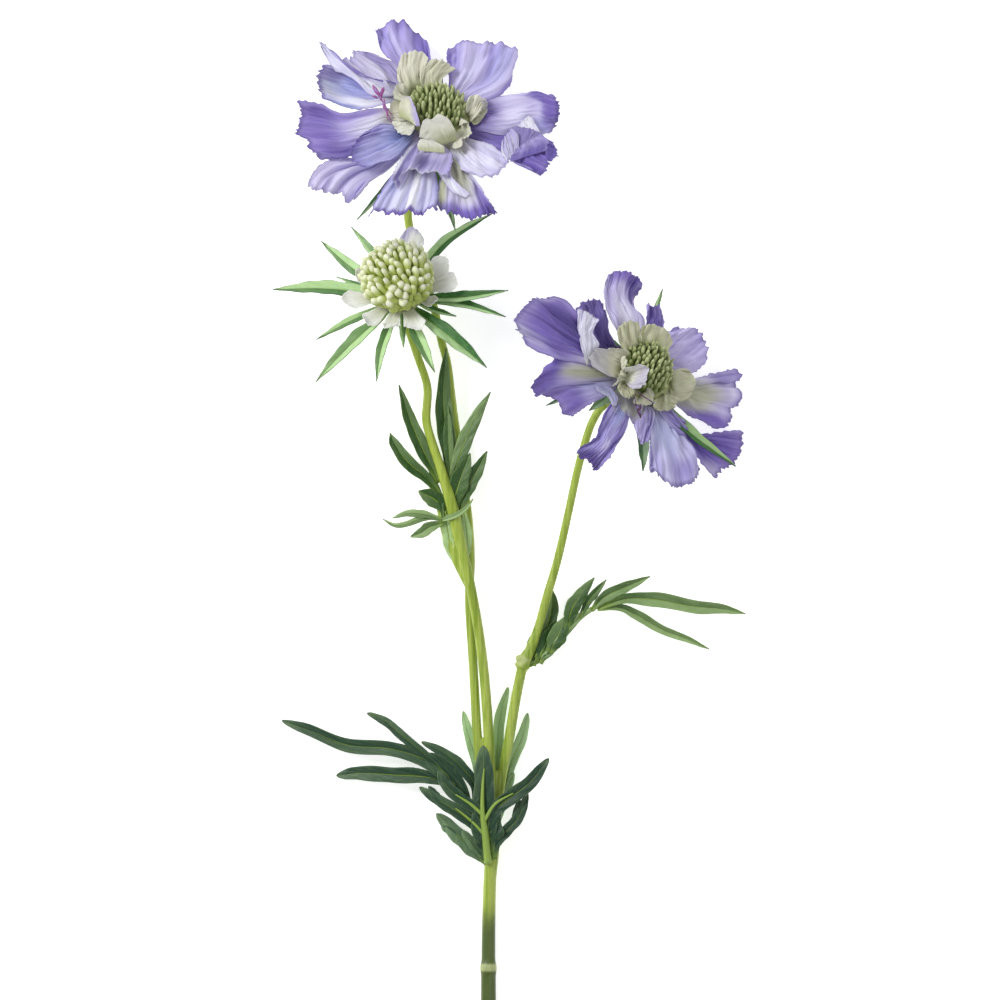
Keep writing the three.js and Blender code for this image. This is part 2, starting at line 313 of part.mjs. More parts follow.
// Leaves: each lobe is [width, fold in degrees, then the points of its midrib [x, y, z]].
const LEAVES = {
  basal_leaf_left: [
    [4.9, 14, [-4.2, -103.8, 3.2], [-9, -94, 5], [-14.4, -85.2, 6.2], [-22.5, -78.6, 6.4],
      [-33, -75.2, 5.4], [-46.5, -74, 3.4], [-58.5, -69.4, 1.5], [-66, -66.8, 0.35]],
    [6.6, 10, [-7.2, -97.8, 4.4], [-16.2, -81.8, 6.4], [-25.5, -76.8, 6.2]],
    [4.8, 12, [-13.4, -86.4, 6.1], [-21, -83.8, 6.2], [-31.5, -83.1, 5], [-42, -82.6, 3],
      [-49.5, -83.4, 1.4]],
    [2.9, 10, [-15, -83.4, 6.4], [-21.6, -77.8, 6.8], [-29.4, -71.3, 6.4],
      [-34.8, -66.8, 5.2], [-40.2, -64.4, 3.8]],
    [3.4, 14, [-7.8, -96.6, 4.6], [-7.8, -86, 6.4], [-12, -80.2, 7.4],
      [-16.2, -76.7, 7.6], [-23.7, -73, 7]],
  ],
  basal_leaf_front: [
    [6.4, 16, [-2.7, -108, 5.4], [-3.6, -100.5, 7], [-4.8, -91.5, 8], [-4.8, -82.5, 8.8],
      [-5.1, -74.1, 9]],
    [9.4, 12, [-2.7, -108.6, 5.4], [-3.9, -99, 7.2], [-4.5, -88.5, 8.2]],
    [4.6, 18, [-3.6, -102.6, 6.6], [-1.2, -93.6, 8.2], [3.6, -89.4, 8.8], [9.3, -84.9, 8.4],
      [14.7, -78, 7]],
    [3.8, 16, [-4.2, -99, 7.1], [-6.6, -93.9, 8.4], [-12, -90, 9], [-16.2, -86.1, 8.8],
      [-18.6, -81.6, 8]],
    [3.8, 16, [-3.6, -103.8, 6.4], [-8.4, -97.8, 7.6], [-13.5, -93.6, 8], [-18.6, -90.6, 7.4],
      [-24.3, -86.7, 6]],
    [2, 8, [-17, -91.4, 7.6], [-21.6, -86.4, 7]],
    [3.4, 12, [-2.4, -106.8, 5.8], [1.2, -100.8, 7], [5.4, -96, 7.6], [8.4, -88.5, 7.2]],
    [2, 8, [3.6, -98.4, 7.3], [6, -90.3, 7.8]],
  ],
  basal_leaf_low: [
    [5, 16, [-4, -109.6, 4], [-7.8, -105.9, 4.4], [-12.6, -101.4, 4], [-19.2, -94.8, 2.6]],
    [2.2, 8, [-13, -101.4, 4], [-17.7, -98.7, 3.4]],
    [3, 10, [-5, -108.4, 4.1], [-8.4, -103.8, 4.8], [-11.4, -99.9, 5]],
  ],
  basal_leaf_back: [
    [3.2, 10, [-2.7, -104, 0.8], [-4.8, -90, 1], [-7.8, -76.5, 1.3], [-9.6, -70.5, 1.4],
      [-11.1, -63.9, 1.2]],
    [3.6, 10, [-2.4, -104, 0.8], [-0.9, -87, 1.1], [-0.9, -75, 1.4], [0, -66, 1.5],
      [2.4, -56.7, 1.2]],
    [3.6, 10, [-1.8, -104, 0.8], [0.9, -88.5, 1], [3.6, -78.6, 1.2], [6.6, -72, 1.4],
      [8.4, -64.5, 1.1]],
    [2.6, 8, [-1.4, -101, 0.8], [1.5, -89.4, 1.1], [4.2, -82.5, 1.5]],
  ],
  upper_leaf_left: [
    [2.2, 8, [-17, -6.6, 8.2], [-18, 0, 7.6], [-20.2, 6, 7.2], [-21.4, 11.4, 7.3]],
    [4.4, 16, [-19.9, 7.8, 7.2], [-23.2, 15, 7.9], [-27, 24, 8], [-30.5, 34.8, 7.2]],
    [4.1, 16, [-19.2, 2.4, 7.2], [-23, 7.4, 7.8], [-27.9, 11.5, 7.8], [-31.8, 17, 7.1],
      [-33.2, 20.2, 6.6]],
    [5, 10, [-16.6, -2.6, 7.3], [-20.4, 0.6, 7.9], [-24.6, 2.7, 7.8]],
    [1.9, 8, [-16.8, -6.3, 8.2], [-21, -5.4, 8.8], [-24.9, -6, 9], [-29.1, -7.5, 8.6],
      [-32.1, -7.5, 8], [-35.4, -5.7, 7.2]],
    [2.4, 8, [-16.8, -6, 8.2], [-22.5, -4.4, 9.4], [-27.6, -4, 9.6], [-32.4, -5.4, 8.8]],
    [3.6, 10, [-16.8, -6.8, 8.2], [-21, -8.1, 8.6], [-23.7, -9.9, 8.2], [-27, -11.1, 7.4]],
    [2.2, 8, [-17.4, -6.2, 8.4], [-16.6, -5.8, 10.2], [-13.2, -4.5, 11], [-10.2, -2.4, 10.2],
      [-8.1, 0.3, 9]],
  ],
  upper_leaf_right: [
    [2.2, 8, [-11.9, -7.2, 7.6], [-12.6, 0.6, 7.4], [-14.4, 6.6, 7.4], [-15.8, 12.6, 7.6]],
    [5.4, 14, [-15, 6, 7.5], [-15.9, 18, 7.4], [-17.1, 30, 7.4], [-16.2, 45.9, 7.6]],
    [3, 8, [-15, 6.6, 7.8], [-15.6, 18, 8.8], [-15.9, 28.5, 8.6]],
    [4.6, 14, [-14.6, 4.8, 7.8], [-12.1, 13.7, 8.8], [-8.5, 22.5, 9], [-2.9, 32.6, 8]],
    [5, 12, [-13, 1.2, 7.8], [-12, 6, 9], [-9, 14.1, 9]],
    [4.2, 14, [-12.2, -3, 7.6], [-10.2, 3, 8.4], [-7.2, 8.4, 8.4], [-3.9, 14.7, 7.6]],
  ],
  right_leaf: [
    [2.2, 6, [9.5, -49.8, 5], [12.9, -47.7, 5.5], [16.5, -44.1, 6.1], [19.5, -39.9, 6.5],
      [23.1, -36, 6.7], [27, -33.3, 6.7], [30.9, -31.8, 6.6]],
    [4.6, 18, [30, -32.4, 6.6], [38.1, -29.8, 7], [46.5, -30, 6.2], [57.9, -32.1, 4.2],
      [67.5, -33, 2.2], [74.3, -34.4, 0.9]],
    [3, 14, [29.4, -33, 6.4], [36, -32.4, 6.2], [41.1, -34.6, 5.2], [48.3, -38.8, 3.6],
      [57, -42.3, 2], [63.3, -45.1, 0.9]],
    [3.6, 16, [27.6, -33.3, 6.7], [31.8, -29.1, 7.4], [38.4, -26.1, 6.8], [45.3, -23.1, 5.2]],
    [3.8, 12, [21, -38.7, 6.5], [21, -33.6, 7.2], [24, -29.1, 7.4], [28.5, -23.4, 6.8]],
    [2, 8, [24, -35.4, 6.7], [26.4, -30.9, 7], [29.1, -27.6, 7], [32.1, -24, 6.4]],
    [3.8, 12, [14.4, -46.2, 5.7], [15.5, -39, 4.4], [16.4, -32.4, 3.7], [16.1, -26.7, 3.4]],
    [3.4, 10, [12, -48.3, 5.3], [10.6, -43.5, 3.9], [10.7, -38.1, 3.5]],
    [3.6, 10, [14.4, -46.5, 5.7], [13.9, -42, 5.2], [14.2, -37.6, 4.6]],
    [3.6, 10, [18, -42.3, 6.3], [16.9, -39, 6.5], [18, -34.2, 6.6]],
  ],
};
const BLADE_ROW_LENGTH = 11; // blades are drawn in rows about this long

// ---- solids ----

function toSolid(geometry) {
  const bare = geometry.clone();
  bare.deleteAttribute('normal');
  bare.deleteAttribute('uv');
  const merged = mergeVertices(bare, 1e-4);
  return new wasm.Manifold(new wasm.Mesh({
    numProp: 3,
    vertProperties: new Float32Array(merged.attributes.position.array),
    triVerts: new Uint32Array(merged.index.array),
  }));
}

function toGeometry(solid) {
  const mesh = solid.getMesh();
  const geometry = new THREE.BufferGeometry();
  geometry.setAttribute('position', new THREE.BufferAttribute(mesh.vertProperties, 3));
  geometry.setIndex(new THREE.BufferAttribute(mesh.triVerts, 1));
  geometry.computeVertexNormals();
  return geometry;
}

const fuse = (geometries) => geometries.map(toSolid).reduce((whole, piece) => whole.add(piece));

function piece(name, solid, look) {
  const material = new THREE.MeshStandardMaterial({ metalness: 0, ...LOOKS[look] });
  const mesh = new THREE.Mesh(toGeometry(solid), material);
  mesh.name = name;
  return mesh;
}

// Closed body from rings of equal length, the first and last ring capped by fans.
function loft(rings) {
  const sides = rings[0].length;
  const vertices = rings.flat();
  const faces = [];
  for (let r = 0; r + 1 < rings.length; r++) {
    for (let s = 0; s < sides; s++) {
      const next = (s + 1) % sides;
      const [a, b] = [r * sides + s, r * sides + next];
      faces.push(a, b, b + sides, a, b + sides, a + sides);
    }
  }
  const last = (rings.length - 1) * sides;
  for (let s = 1; s + 1 < sides; s++) {
    faces.push(0, s + 1, s, last, last + s, last + s + 1);
  }
  const geometry = new THREE.BufferGeometry().setFromPoints(vertices);
  geometry.setIndex(faces);
  return geometry;
}

// Slab of even thickness about a surface (u, v) -> point, split alike on both faces.
function sheet(surface, columns, rows, thickness) {
  const span = columns + 1;
  const top = [];
  const bottom = [];
  for (let j = 0; j <= rows; j++) {
    for (let i = 0; i <= columns; i++) {
      const [u, v] = [(2 * i) / columns - 1, j / rows];
      const point = surface(u, v);
      const normal = surfaceNormal(surface, u, v).multiplyScalar(thickness / 2);
      top.push(point.clone().add(normal));
      bottom.push(point.clone().sub(normal));
    }
  }
  const low = top.length;
  const faces = [];
  for (let j = 0; j < rows; j++) {
    for (let i = 0; i < columns; i++) {
      const a = j * span + i;
      const [b, c, d] = [a + span, a + span + 1, a + 1];
      faces.push(a, b, c, a, c, d);
      faces.push(low + a, low + c, low + b, low + a, low + d, low + c);
    }
  }
  const rim = rimOfGrid(columns, rows);
  rim.forEach((p, k) => {
    const q = rim[(k + 1) % rim.length];
    faces.push(q, p, low + p, q, low + p, low + q);
  });
  const geometry = new THREE.BufferGeometry().setFromPoints([...top, ...bottom]);
  geometry.setIndex(faces);
  return geometry;
}

function rimOfGrid(columns, rows) {
  const span = columns + 1;
  const rim = [];
  for (let j = 0; j < rows; j++) rim.push(j * span);
  for (let i = 0; i < columns; i++) rim.push(rows * span + i);
  for (let j = rows; j > 0; j--) rim.push(j * span + columns);
  for (let i = columns; i > 0; i--) rim.push(i);
  return rim;
}

function surfaceNormal(surface, u, v) {
  const step = 0.01;
  const along = surface(u, Math.min(v + step, 1)).sub(surface(u, Math.max(v - step, 0)));
  const across = surface(Math.min(u + step, 1), v).sub(surface(Math.max(u - step, -1), v));
  return along.cross(across).normalize();
}

// ---- stems ----

// Tube through rows [x, y, z, radius], its flat side kept facing down.
function tube(rows, grow = 0) {
  const centres = rows.map(([x, y, z]) => new THREE.Vector3(x, y, z));
  const rings = rows.map((row, k) => {
    const before = centres[Math.max(k - 1, 0)];
    const after = centres[Math.min(k + 1, centres.length - 1)];
    const along = after.clone().sub(before).normalize();
    const side = along.clone().cross(new THREE.Vector3(0, 0, 1)).normalize();
    const up = side.clone().cross(along);
    return ring(centres[k], side, up, row[3] + grow, STEM_SIDES);
  });
  return loft(rings);
}

function ring(centre, side, up, radius, sides) {
  return Array.from({ length: sides }, (_, s) => {
    const angle = ((s + 0.5) * 2 * Math.PI) / sides;
    return centre.clone()
      .addScaledVector(side, radius * Math.cos(angle))
      .addScaledVector(up, -radius * Math.sin(angle));
  });
}

function stemLines() {
  const runIn = (head, radius) => [...STEM_RUN_IN, STEM_END].map((height) => {
    const point = headFrame(head).at(0, 0, height);
    return [point.x, point.y, point.z, radius];
  });
  return [
    TRUNK,
    SHEATH,
    [...BRANCH_LEFT, ...runIn(HEADS.bloom_1, 1.5)],
    [...BRANCH_MIDDLE, ...runIn(HEADS.bud, 1.4).slice(1)],
    [...BRANCH_RIGHT, ...runIn(HEADS.bloom_2, 1.5)],
  ];
}

// ---- heads ----

function headFrame({ at, lean, toward }) {
  const [tilt, turn] = [lean, toward].map(THREE.MathUtils.degToRad);
  const axis = new THREE.Vector3(
    Math.sin(tilt) * Math.cos(turn), Math.sin(tilt) * Math.sin(turn), Math.cos(tilt));
  const right = new THREE.Vector3(1, 0, 0).addScaledVector(axis, -axis.x).normalize();
  const upper = axis.clone().cross(right);
  const middle = new THREE.Vector3(...at);
  return {
    middle,
    basis: new THREE.Matrix4().makeBasis(right, upper, axis),
    at: (x, y, z) => middle.clone()
      .addScaledVector(right, x).addScaledVector(upper, y).addScaledVector(axis, z),
  };
}

function headGroup(head, pieces) {
  const frame = headFrame(head);
  const group = new THREE.Group();
  group.position.copy(frame.middle);
  group.quaternion.setFromRotationMatrix(frame.basis);
  group.add(...pieces);
  return group;
}

function polar(radius, degrees, height) {
  const angle = THREE.MathUtils.degToRad(degrees);
  return new THREE.Vector3(radius * Math.cos(angle), radius * Math.sin(angle), height);
}

const smooth = (t) => THREE.MathUtils.smoothstep(t, 0, 1);

// A petal spanned by its drawn edges and pleated towards its tip.
function drawnPetal({ foot: [azimuth, width], right, tip, left, folds }, layer) {
  const turn = THREE.MathUtils.radToDeg(width / 2 / layer.radius);
  const claw = [-turn, 0, turn].map((offset) =>
    polar(layer.radius, azimuth + offset, layer.height));
  const end = tip.map((point) => new THREE.Vector3(...point));
  const edge = (points) => new THREE.CatmullRomCurve3(points, false, 'centripetal');
  const side = (start, points, finish) =>
    edge([start, ...points.map((point) => new THREE.Vector3(...point)), finish]);
  const rightEdge = side(claw[0], right, end[0]);
  const leftEdge = side(claw[2], left, end.at(-1));
  const [clawEdge, tipEdge] = [edge(claw), edge(end)];
  return (u, v) => {
    const s = (u + 1) / 2;
    const sides = rightEdge.getPointAt(v).lerp(leftEdge.getPointAt(v), s);
    const ends = clawEdge.getPointAt(s).lerp(tipEdge.getPointAt(s), v);
    const corners = claw[0].clone().lerp(claw[2], s)
      .lerp(end[0].clone().lerp(end.at(-1), s), v);
    const place = s * (folds.length - 1);
    const first = Math.min(Math.floor(place), folds.length - 2);
    const fold = THREE.MathUtils.lerp(folds[first], folds[first + 1], place - first);
    corners.z -= fold * smooth(v / 0.6);
    return sides.add(ends).sub(corners);
  };
}

// A petal widens from its claw to a blunt, lobed edge, cupped across and ruffled.
function petalSurface(row, layer, columns) {
  const [azimuth, reach, width, lift, arch, sweep, roll, cup, ruffle, blunt = layer.blunt] = row;
  const peak = THREE.MathUtils.lerp(layer.radius, reach, layer.peak);
  const spine = new THREE.QuadraticBezierCurve3(
    polar(layer.radius, azimuth - sweep, layer.height),
    polar(Math.max(peak, layer.radius + 4), azimuth - sweep / 2,
      (layer.height + lift) / 2 + arch),
    polar(reach, azimuth, lift));
  const tangential = polar(1, azimuth + 90, 0);
  const phase = THREE.MathUtils.degToRad(azimuth * 7);
  return (u, v) => {
    const lobes = layer.lobe * Math.cos((columns / 2) * Math.PI * (u + 1));
    const along = v * (1 - blunt * u * u + lobes * v * v);
    const forward = spine.getTangent(THREE.MathUtils.clamp(along, 0, 1));
    const side = tangential.clone().addScaledVector(forward, -tangential.dot(forward));
    side.normalize().applyAxisAngle(forward, THREE.MathUtils.degToRad(roll) * v);
    const up = forward.clone().cross(side);
    const half = (width / 2) * (layer.claw + (1 - layer.claw) * smooth(along / 0.65));
    const wave = ruffle * Math.sin(layer.waves * Math.PI * u + phase) * v * v;
    return spine.getPoint(along)
      .addScaledVector(side, half * u)
      .addScaledVector(up, cup * half * u * u + wave);
  };
}

function petalRing(rows, layer, columns, lines) {
  return rows.map((row) => sheet(
    petalSurface(row, layer, columns), columns, lines, PETAL_THICKNESS));
}

// Body turned about a head's axis from rows [radius, height], bottom to top.
function turned(profile, segments) {
  return new THREE.LatheGeometry(profile.map(([r, h]) => new THREE.Vector2(r, h)), segments)
    .rotateX(Math.PI / 2);
}

// Dome of close-set florets: its rings of points are staggered, and each diamond between
// them rises into a blunt grain. Profile rows are [radius, height], rim to crown.
function studded(profile, columns, base, crown, rise) {
  const corner = (k, i) => {
    const [radius, height] = profile[k];
    return polar(radius, (((i + columns) % columns + (k % 2) / 2) * 360) / columns, height);
  };
  const faces = [];
  const last = profile.length - 1;
  const foot = new THREE.Vector3(0, 0, base);
  const top = new THREE.Vector3(0, 0, crown);
  for (let i = 0; i < columns; i++) {
    faces.push(foot, corner(0, i + 1), corner(0, i));
    faces.push(corner(0, i), corner(0, i + 1), corner(1, i));
    faces.push(corner(last, i), corner(last, i + 1), top);
    faces.push(corner(last - 1, i + (last % 2)), corner(last, i + 1), corner(last, i));
    for (let k = 0; k + 2 <= last; k++) {
      const right = i + (k % 2);
      faces.push(...grain(
        [corner(k, i), corner(k + 1, right), corner(k + 2, i), corner(k + 1, right - 1)], rise));
    }
  }
  return new THREE.BufferGeometry().setFromPoints(faces);
}

// Blunt pyramid on four corners given in order round an outward face.
function grain(corners, rise) {
  const middle = corners.reduce((sum, p) => sum.add(p), new THREE.Vector3()).divideScalar(4);
  const across = corners[1].clone().sub(corners[3]);
  const outward = across.cross(corners[2].clone().sub(corners[0])).normalize();
  const crown = corners.map((p) => middle.clone().lerp(p, GRAIN_TAPER)
    .addScaledVector(outward, rise));
  const faces = corners.flatMap((p, k) => {
    const next = (k + 1) % 4;
    return [p, corners[next], crown[next], p, crown[next], crown[k]];
  });
  return [...faces, crown[0], crown[1], crown[2], crown[0], crown[2], crown[3]];
}

function bracts(rows, root) {
  return rows.map(([azimuth, reach, width, drop, bow]) => {
    const start = polar(root.radius, azimuth, root.height);
    const middle = polar(
      (root.radius + reach) / 2, azimuth, (root.height + drop) / 2 + root.arch);
    const tip = polar(reach, azimuth, drop);
    middle.add(polar(bow, azimuth + 90, 0));
    return blade([start, middle, tip], width, 12);
  });
}

// ---- leaves ----

// Width along a blade: a narrow foot, widest a third of the way up, a pointed tip.
function lance(v) {
  const peak = 0.42;
  if (v < peak) return 0.4 + 0.6 * smooth(v / peak);
  return 1 - ((v - peak) / (1 - peak)) ** 2;
}

// Blade along a midrib, its halves folded up to both sides, with a slight wave.
function blade(points, width, fold) {
  const line = new THREE.CatmullRomCurve3(points, false, 'centripetal');
  const lean = Math.tan(THREE.MathUtils.degToRad(fold));
  const rows = THREE.MathUtils.clamp(Math.round(line.getLength() / BLADE_ROW_LENGTH), 3, 8);
  return sheet((u, v) => {
    const forward = line.getTangent(v);
    const side = new THREE.Vector3(0, 0, 1).cross(forward).normalize().negate();
    const up = side.clone().cross(forward);
    const half = Math.max((width / 2) * lance(v), 0.25);
    return line.getPoint(v)
      .addScaledVector(side, -half * u)
      .addScaledVector(up, half * Math.abs(u) * lean);
  }, 2, rows, BLADE_THICKNESS);
}

function leaf(lobes) {
  return lobes.map(([width, fold, ...points]) => blade(
    points.map((point) => new THREE.Vector3(...point)), width, fold));
}

// ---- assembly ----

// Domes of florets, rows [radius, height] from rim to crown.
const BUTTON = [
  [7.2, 2.9], [7.7, 3.9], [7.6, 5], [6.9, 6.2], [5.7, 7.2], [4.2, 7.9], [2.6, 8.3], [1.2, 8.5],
];
const BUD_DOME = [
  [8.8, -0.7], [10, 1.1], [10.7, 3.4], [10.6, 5.9], [9.8, 8.3], [8.1, 10.6], [5.9, 12.3],
  [3.4, 13.3], [1.4, 13.7],
];

function bloom(name) {
  const outer = turned([[0, -2.4], [8.2, -2.4], [8.2, 0.4], [0, 0.4]], 10);
  const inner = turned([[0, 0.8], [10, 0.8], [10, 2.3], [0, 2.3]], 12);
  const cup = turned([[0, -6.5], [2.2, -6.5], [5.5, -4.4], [5.5, -2.8], [0, -2.8]], 8);
  return headGroup(HEADS[name], [
    piece(`${name}_petals`,
      fuse([outer, ...OUTER_PETALS[name].map((petal) => sheet(
        drawnPetal(petal, LAYERS.outer), 5, 4, PETAL_THICKNESS))]), 'petal'),
    piece(`${name}_inner_petals`,
      fuse([inner, ...petalRing(INNER_PETALS[name], LAYERS.inner, 3, 3)]), 'cream'),
    piece(`${name}_button`, toSolid(studded(BUTTON, 13, 2.7, 8.5, 1.05)), 'button'),
    piece(`${name}_bracts`,
      fuse([cup, ...bracts(BRACTS[name], { radius: 4, height: -4.1, arch: 0.2 })]), 'bract'),
  ]);
}

function buddingHead() {
  const disc = turned([[0, -2.8], [8.8, -2.8], [8.8, -1.4], [0, -1.4]], 12);
  const cup = turned([[0, -6.5], [2, -6.5], [5.5, -4.6], [5.5, -3.2], [0, -3.2]], 10);
  return headGroup(HEADS.bud, [
    piece('bud_florets', toSolid(studded(BUD_DOME, 13, -1, 13.7, 1.3)), 'bud'),
    piece('bud_rim_petals', fuse([disc, ...petalRing(RIM_PETALS, LAYERS.rim, 2, 3)]), 'cream'),
    piece('bud_bracts', fuse([cup, ...bracts(BRACTS.bud, { radius: 4, height: -4.6, arch: -0.8 })]),
      'bract'),
  ]);
}

function foliage() {
  const clearance = stemLines().map((line) => toSolid(tube(line, GAP)))
    .reduce((whole, tubeSolid) => whole.add(tubeSolid));
  return Object.entries(LEAVES).map(([name, lobes]) =>
    piece(name, fuse(leaf(lobes)).subtract(clearance), 'leaf'));
}

const spray = new THREE.Group();
spray.position.set(-LAYOUT_CENTRE[0], -LAYOUT_CENTRE[1], 0);
spray.add(piece('stem', fuse(stemLines().map((line) => tube(line))), 'stem'));
spray.add(...foliage());
spray.add(bloom('bloom_1'), bloom('bloom_2'), buddingHead());

const scabiosa = new THREE.Group();
scabiosa.name = 'scabiosa_spray';
scabiosa.add(spray);
export default scabiosa;
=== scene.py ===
"""Dresses the cut scabiosa spray: petals, florets, leaves, bracts and stem, and its stage.

The tables below are in millimetres. Stems and leaves stand in the plan of the spray as it
lies on its table. Each head has a frame of its own, its axis up through the middle of the
disc, its y axis towards the top of the plan.
"""

import math
from typing import NamedTuple

import bpy
import numpy as np
from bpy.props import FloatProperty, FloatVectorProperty, IntProperty, PointerProperty
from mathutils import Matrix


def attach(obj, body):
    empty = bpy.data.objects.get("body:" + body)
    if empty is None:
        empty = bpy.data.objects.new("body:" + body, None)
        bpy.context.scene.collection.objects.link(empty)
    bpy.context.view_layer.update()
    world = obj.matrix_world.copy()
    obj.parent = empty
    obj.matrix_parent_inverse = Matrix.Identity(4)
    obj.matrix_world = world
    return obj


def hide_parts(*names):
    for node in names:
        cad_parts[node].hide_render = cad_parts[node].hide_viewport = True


bl_info = {
    "name": "Scabiosa spray",
    "version": (1, 0, 0),
    "blender": (4, 5, 0),
    "location": "3D View > Sidebar > Scabiosa",
    "description": "Builds a cut spray of scabiosa over its solid frame",
    "category": "Add Mesh",
}

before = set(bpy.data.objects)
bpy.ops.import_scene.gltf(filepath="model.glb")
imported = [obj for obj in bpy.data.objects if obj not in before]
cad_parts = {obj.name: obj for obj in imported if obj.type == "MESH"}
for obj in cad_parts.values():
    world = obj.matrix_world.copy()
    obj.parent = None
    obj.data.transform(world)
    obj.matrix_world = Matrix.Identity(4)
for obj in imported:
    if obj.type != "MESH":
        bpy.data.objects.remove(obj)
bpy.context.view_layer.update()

MM = 0.001
LAYOUT_CENTRE = np.array([3.03, -22.53, 0.0])  # the plan's point that stands at the origin
UP = np.array([0.0, 0.0, 1.0])

# ---- the plant's plan ----

# Stem lines, each row x, y, z and radius.
TRUNK = [
    (-3.5, -190, 2.08, 2.25), (-3.5, -160, 2.08, 2.25), (-3.5, -144, 2.4, 2.15),
    (-3.5, -142.2, 2.6, 2.4), (-3.5, -141, 2.6, 2.4), (-3.5, -139, 2.5, 2),
    (-3.4, -127.5, 2.5, 1.95), (-3, -114, 2.6, 1.85), (-2.4, -107, 2.9, 2.05),
    (-2.1, -101, 3, 1.9),
]
BRANCH_LEFT = [
    (-3, -108.6, 2.7, 1.2), (-4.8, -93, 3.3, 1.35), (-6.6, -75, 3.6, 1.4),
    (-8.1, -49.8, 4, 1.35), (-9.3, -30, 4.4, 1.3), (-9, -18, 4.5, 1.4),
    (-9.6, -6, 4.6, 1.35), (-11.1, 6, 4.8, 1.2), (-12.3, 15.3, 5, 1.2),
    (-13.8, 24.9, 5.2, 1.2), (-15, 34.5, 5.4, 1.2), (-15.9, 41.1, 5.6, 1.25),
    (-17.7, 48, 5.8, 1.2), (-20.4, 60, 6.2, 1.2), (-24.4, 72, 6.8, 1.2),
    (-27.6, 84, 7.8, 1.25), (-27, 95, 9.6, 1.3),
]
BRANCH_MIDDLE = [
    (-2.4, -108.6, 3.1, 1.2), (-2.6, -90, 4.2, 1.4), (-3.2, -75, 5, 1.5),
    (-5.1, -49.8, 7, 1.45), (-8.1, -30, 8.2, 1.45), (-11.4, -15, 8.6, 1.55),
    (-12.7, -9.9, 8.7, 1.75), (-14.2, -3, 8.8, 1.75), (-16.6, 5.4, 9, 1.5),
    (-18, 9.9, 9, 1.4), (-20.7, 18, 9.1, 1.3), (-22.2, 24, 9.2, 1.3),
    (-21.8, 33, 9.2, 1.25), (-22.5, 36.6, 9.2, 1.2), (-24.6, 42.6, 9.2, 1.2),
    (-26.4, 48, 9.4, 1.2), (-28.2, 53.1, 10.2, 1.2),
]
BRANCH_RIGHT = [
    (-1.8, -108.6, 2.7, 1.2), (0, -87, 3.6, 1.4), (2.8, -72, 4.2, 1.5),
    (4.8, -60, 4.8, 1.5), (6.5, -51.6, 5.4, 1.5), (7.1, -49.4, 5.5, 1.7),
    (7.9, -47.4, 5.6, 1.8), (9.2, -45, 5.8, 1.5), (11.7, -38.1, 6.2, 1.3),
    (14.1, -29.4, 6.6, 1.3), (17.4, -18, 7, 1.25), (20.5, -4.5, 7.3, 1.2),
    (23.4, 9, 7.6, 1.2), (25, 15, 7.8, 1.2), (27.4, 22.5, 8, 1.2),
    (29.8, 27, 8.2, 1.25), (32.6, 30, 8.7, 1.3),
]
SHEATH = [
    (-18.4, -2.4, 5.4, 0.8), (-16.8, -7.5, 5.6, 1.5), (-14.8, -14, 6.2, 1.6),
    (-12, -21, 7.2, 1.2), (-9.4, -27, 8.1, 0.8),
]
COLLAR = [(6.6, -51, 5.4, 1.5), (6.8, -50.2, 5.4, 2.5), (7.1, -49.4, 5.5, 1.5)]
SCAR = [(5.3, -48.9, 5.9, 0.4), (5.7, -47.7, 6.3, 1.15), (6.3, -46.9, 6.4, 0.4)]
STEM_RUN_IN = (-14, -10, -6.2)  # heights on a head's axis at which its branch runs in
STEM_SIDES = 20
STEM_SWELL = 1.06  # makes up for what welding takes off
STEM_VOXEL = 0.00045
STEM_SMOOTHING = 5
THIN_SIDES = 10  # of the leaf's ribs and the stamens
STEM_RING = -0.1188  # y of the pale ring round the node, in metres from the origin
STEM_SCAR = (0.0032, -0.0258)  # x and y of the scar by the right leaf, likewise

# Heads: middle of the disc, lean from upright and the direction leaned to, in degrees. The
# bud's florets stand a little higher up the plan than its rim and bracts.
HEADS = {
    "bloom_1": {"at": (-19, 115, 23.87), "lean": 40, "toward": 75},
    "bloom_2": {"at": (42.4, 38.5, 18.92), "lean": 38, "toward": 27},
    "bud": {"at": (-30, 63, 22), "lean": 30, "toward": 95},
    "bud_dome": {"at": (-30.4, 64.7, 22), "lean": 30, "toward": 95},
}

# Layers of petals: the ring that their claws leave from and the profile of the disc under
# them, the columns and lines of a petal's grid, and its frill as a share of the common one.
# Petals drawn by their edges are pleated and crumpled. A rim petal has the place of its
# arch, the breadth of its claw, its bluntness and the height of the lobes of its end.
LAYERS = {
    "outer": {
        "radius": 7.4, "height": -1.7, "grid": (88, 30), "frill": 1, "pleat": 0.8,
        "crumple": 0.26,
        "disc": [(0, -2.3), (7, -2.3), (8.2, -1.6), (8.4, -0.8), (7.8, 0.3), (0, 0.4)],
    },
    "inner": {
        "radius": 9.3, "height": 1.6, "grid": (52, 26), "frill": 0.55, "pleat": 0.3,
        "crumple": 0.32,
        "disc": [(0, 0.8), (9.4, 0.8), (10, 1.4), (9.6, 2.2), (0, 2.4)],
    },
    "rim": {
        "radius": 6.6, "height": -1.2, "grid": (30, 20), "frill": 0.25, "peak": 0.85,
        "claw": 0.55, "blunt": 0.42, "lobe": 0.03,
        "disc": [(0, -2.8), (6.6, -2.8), (7, -2.1), (6.8, -1.4), (0, -1.4)],
    },
}
FOLD_FRILL = 0.35  # the frill and teeth of folds with no claw, as a share of the layer's
CRUMPLED_LENGTH = 18  # petals shorter than this are less crumpled
# What a petal's look says, as the values that its finish reads.
LOOKS = {"outer": ("depth", "blue", "fade"), "inner": ("flush", "greenness", "white")}
# Tones of the petals' washes: pigment, and in a few washes painted shadow of neighbours.
WASH_TONES = ("pale", "green", "azure", "violet", "deep")


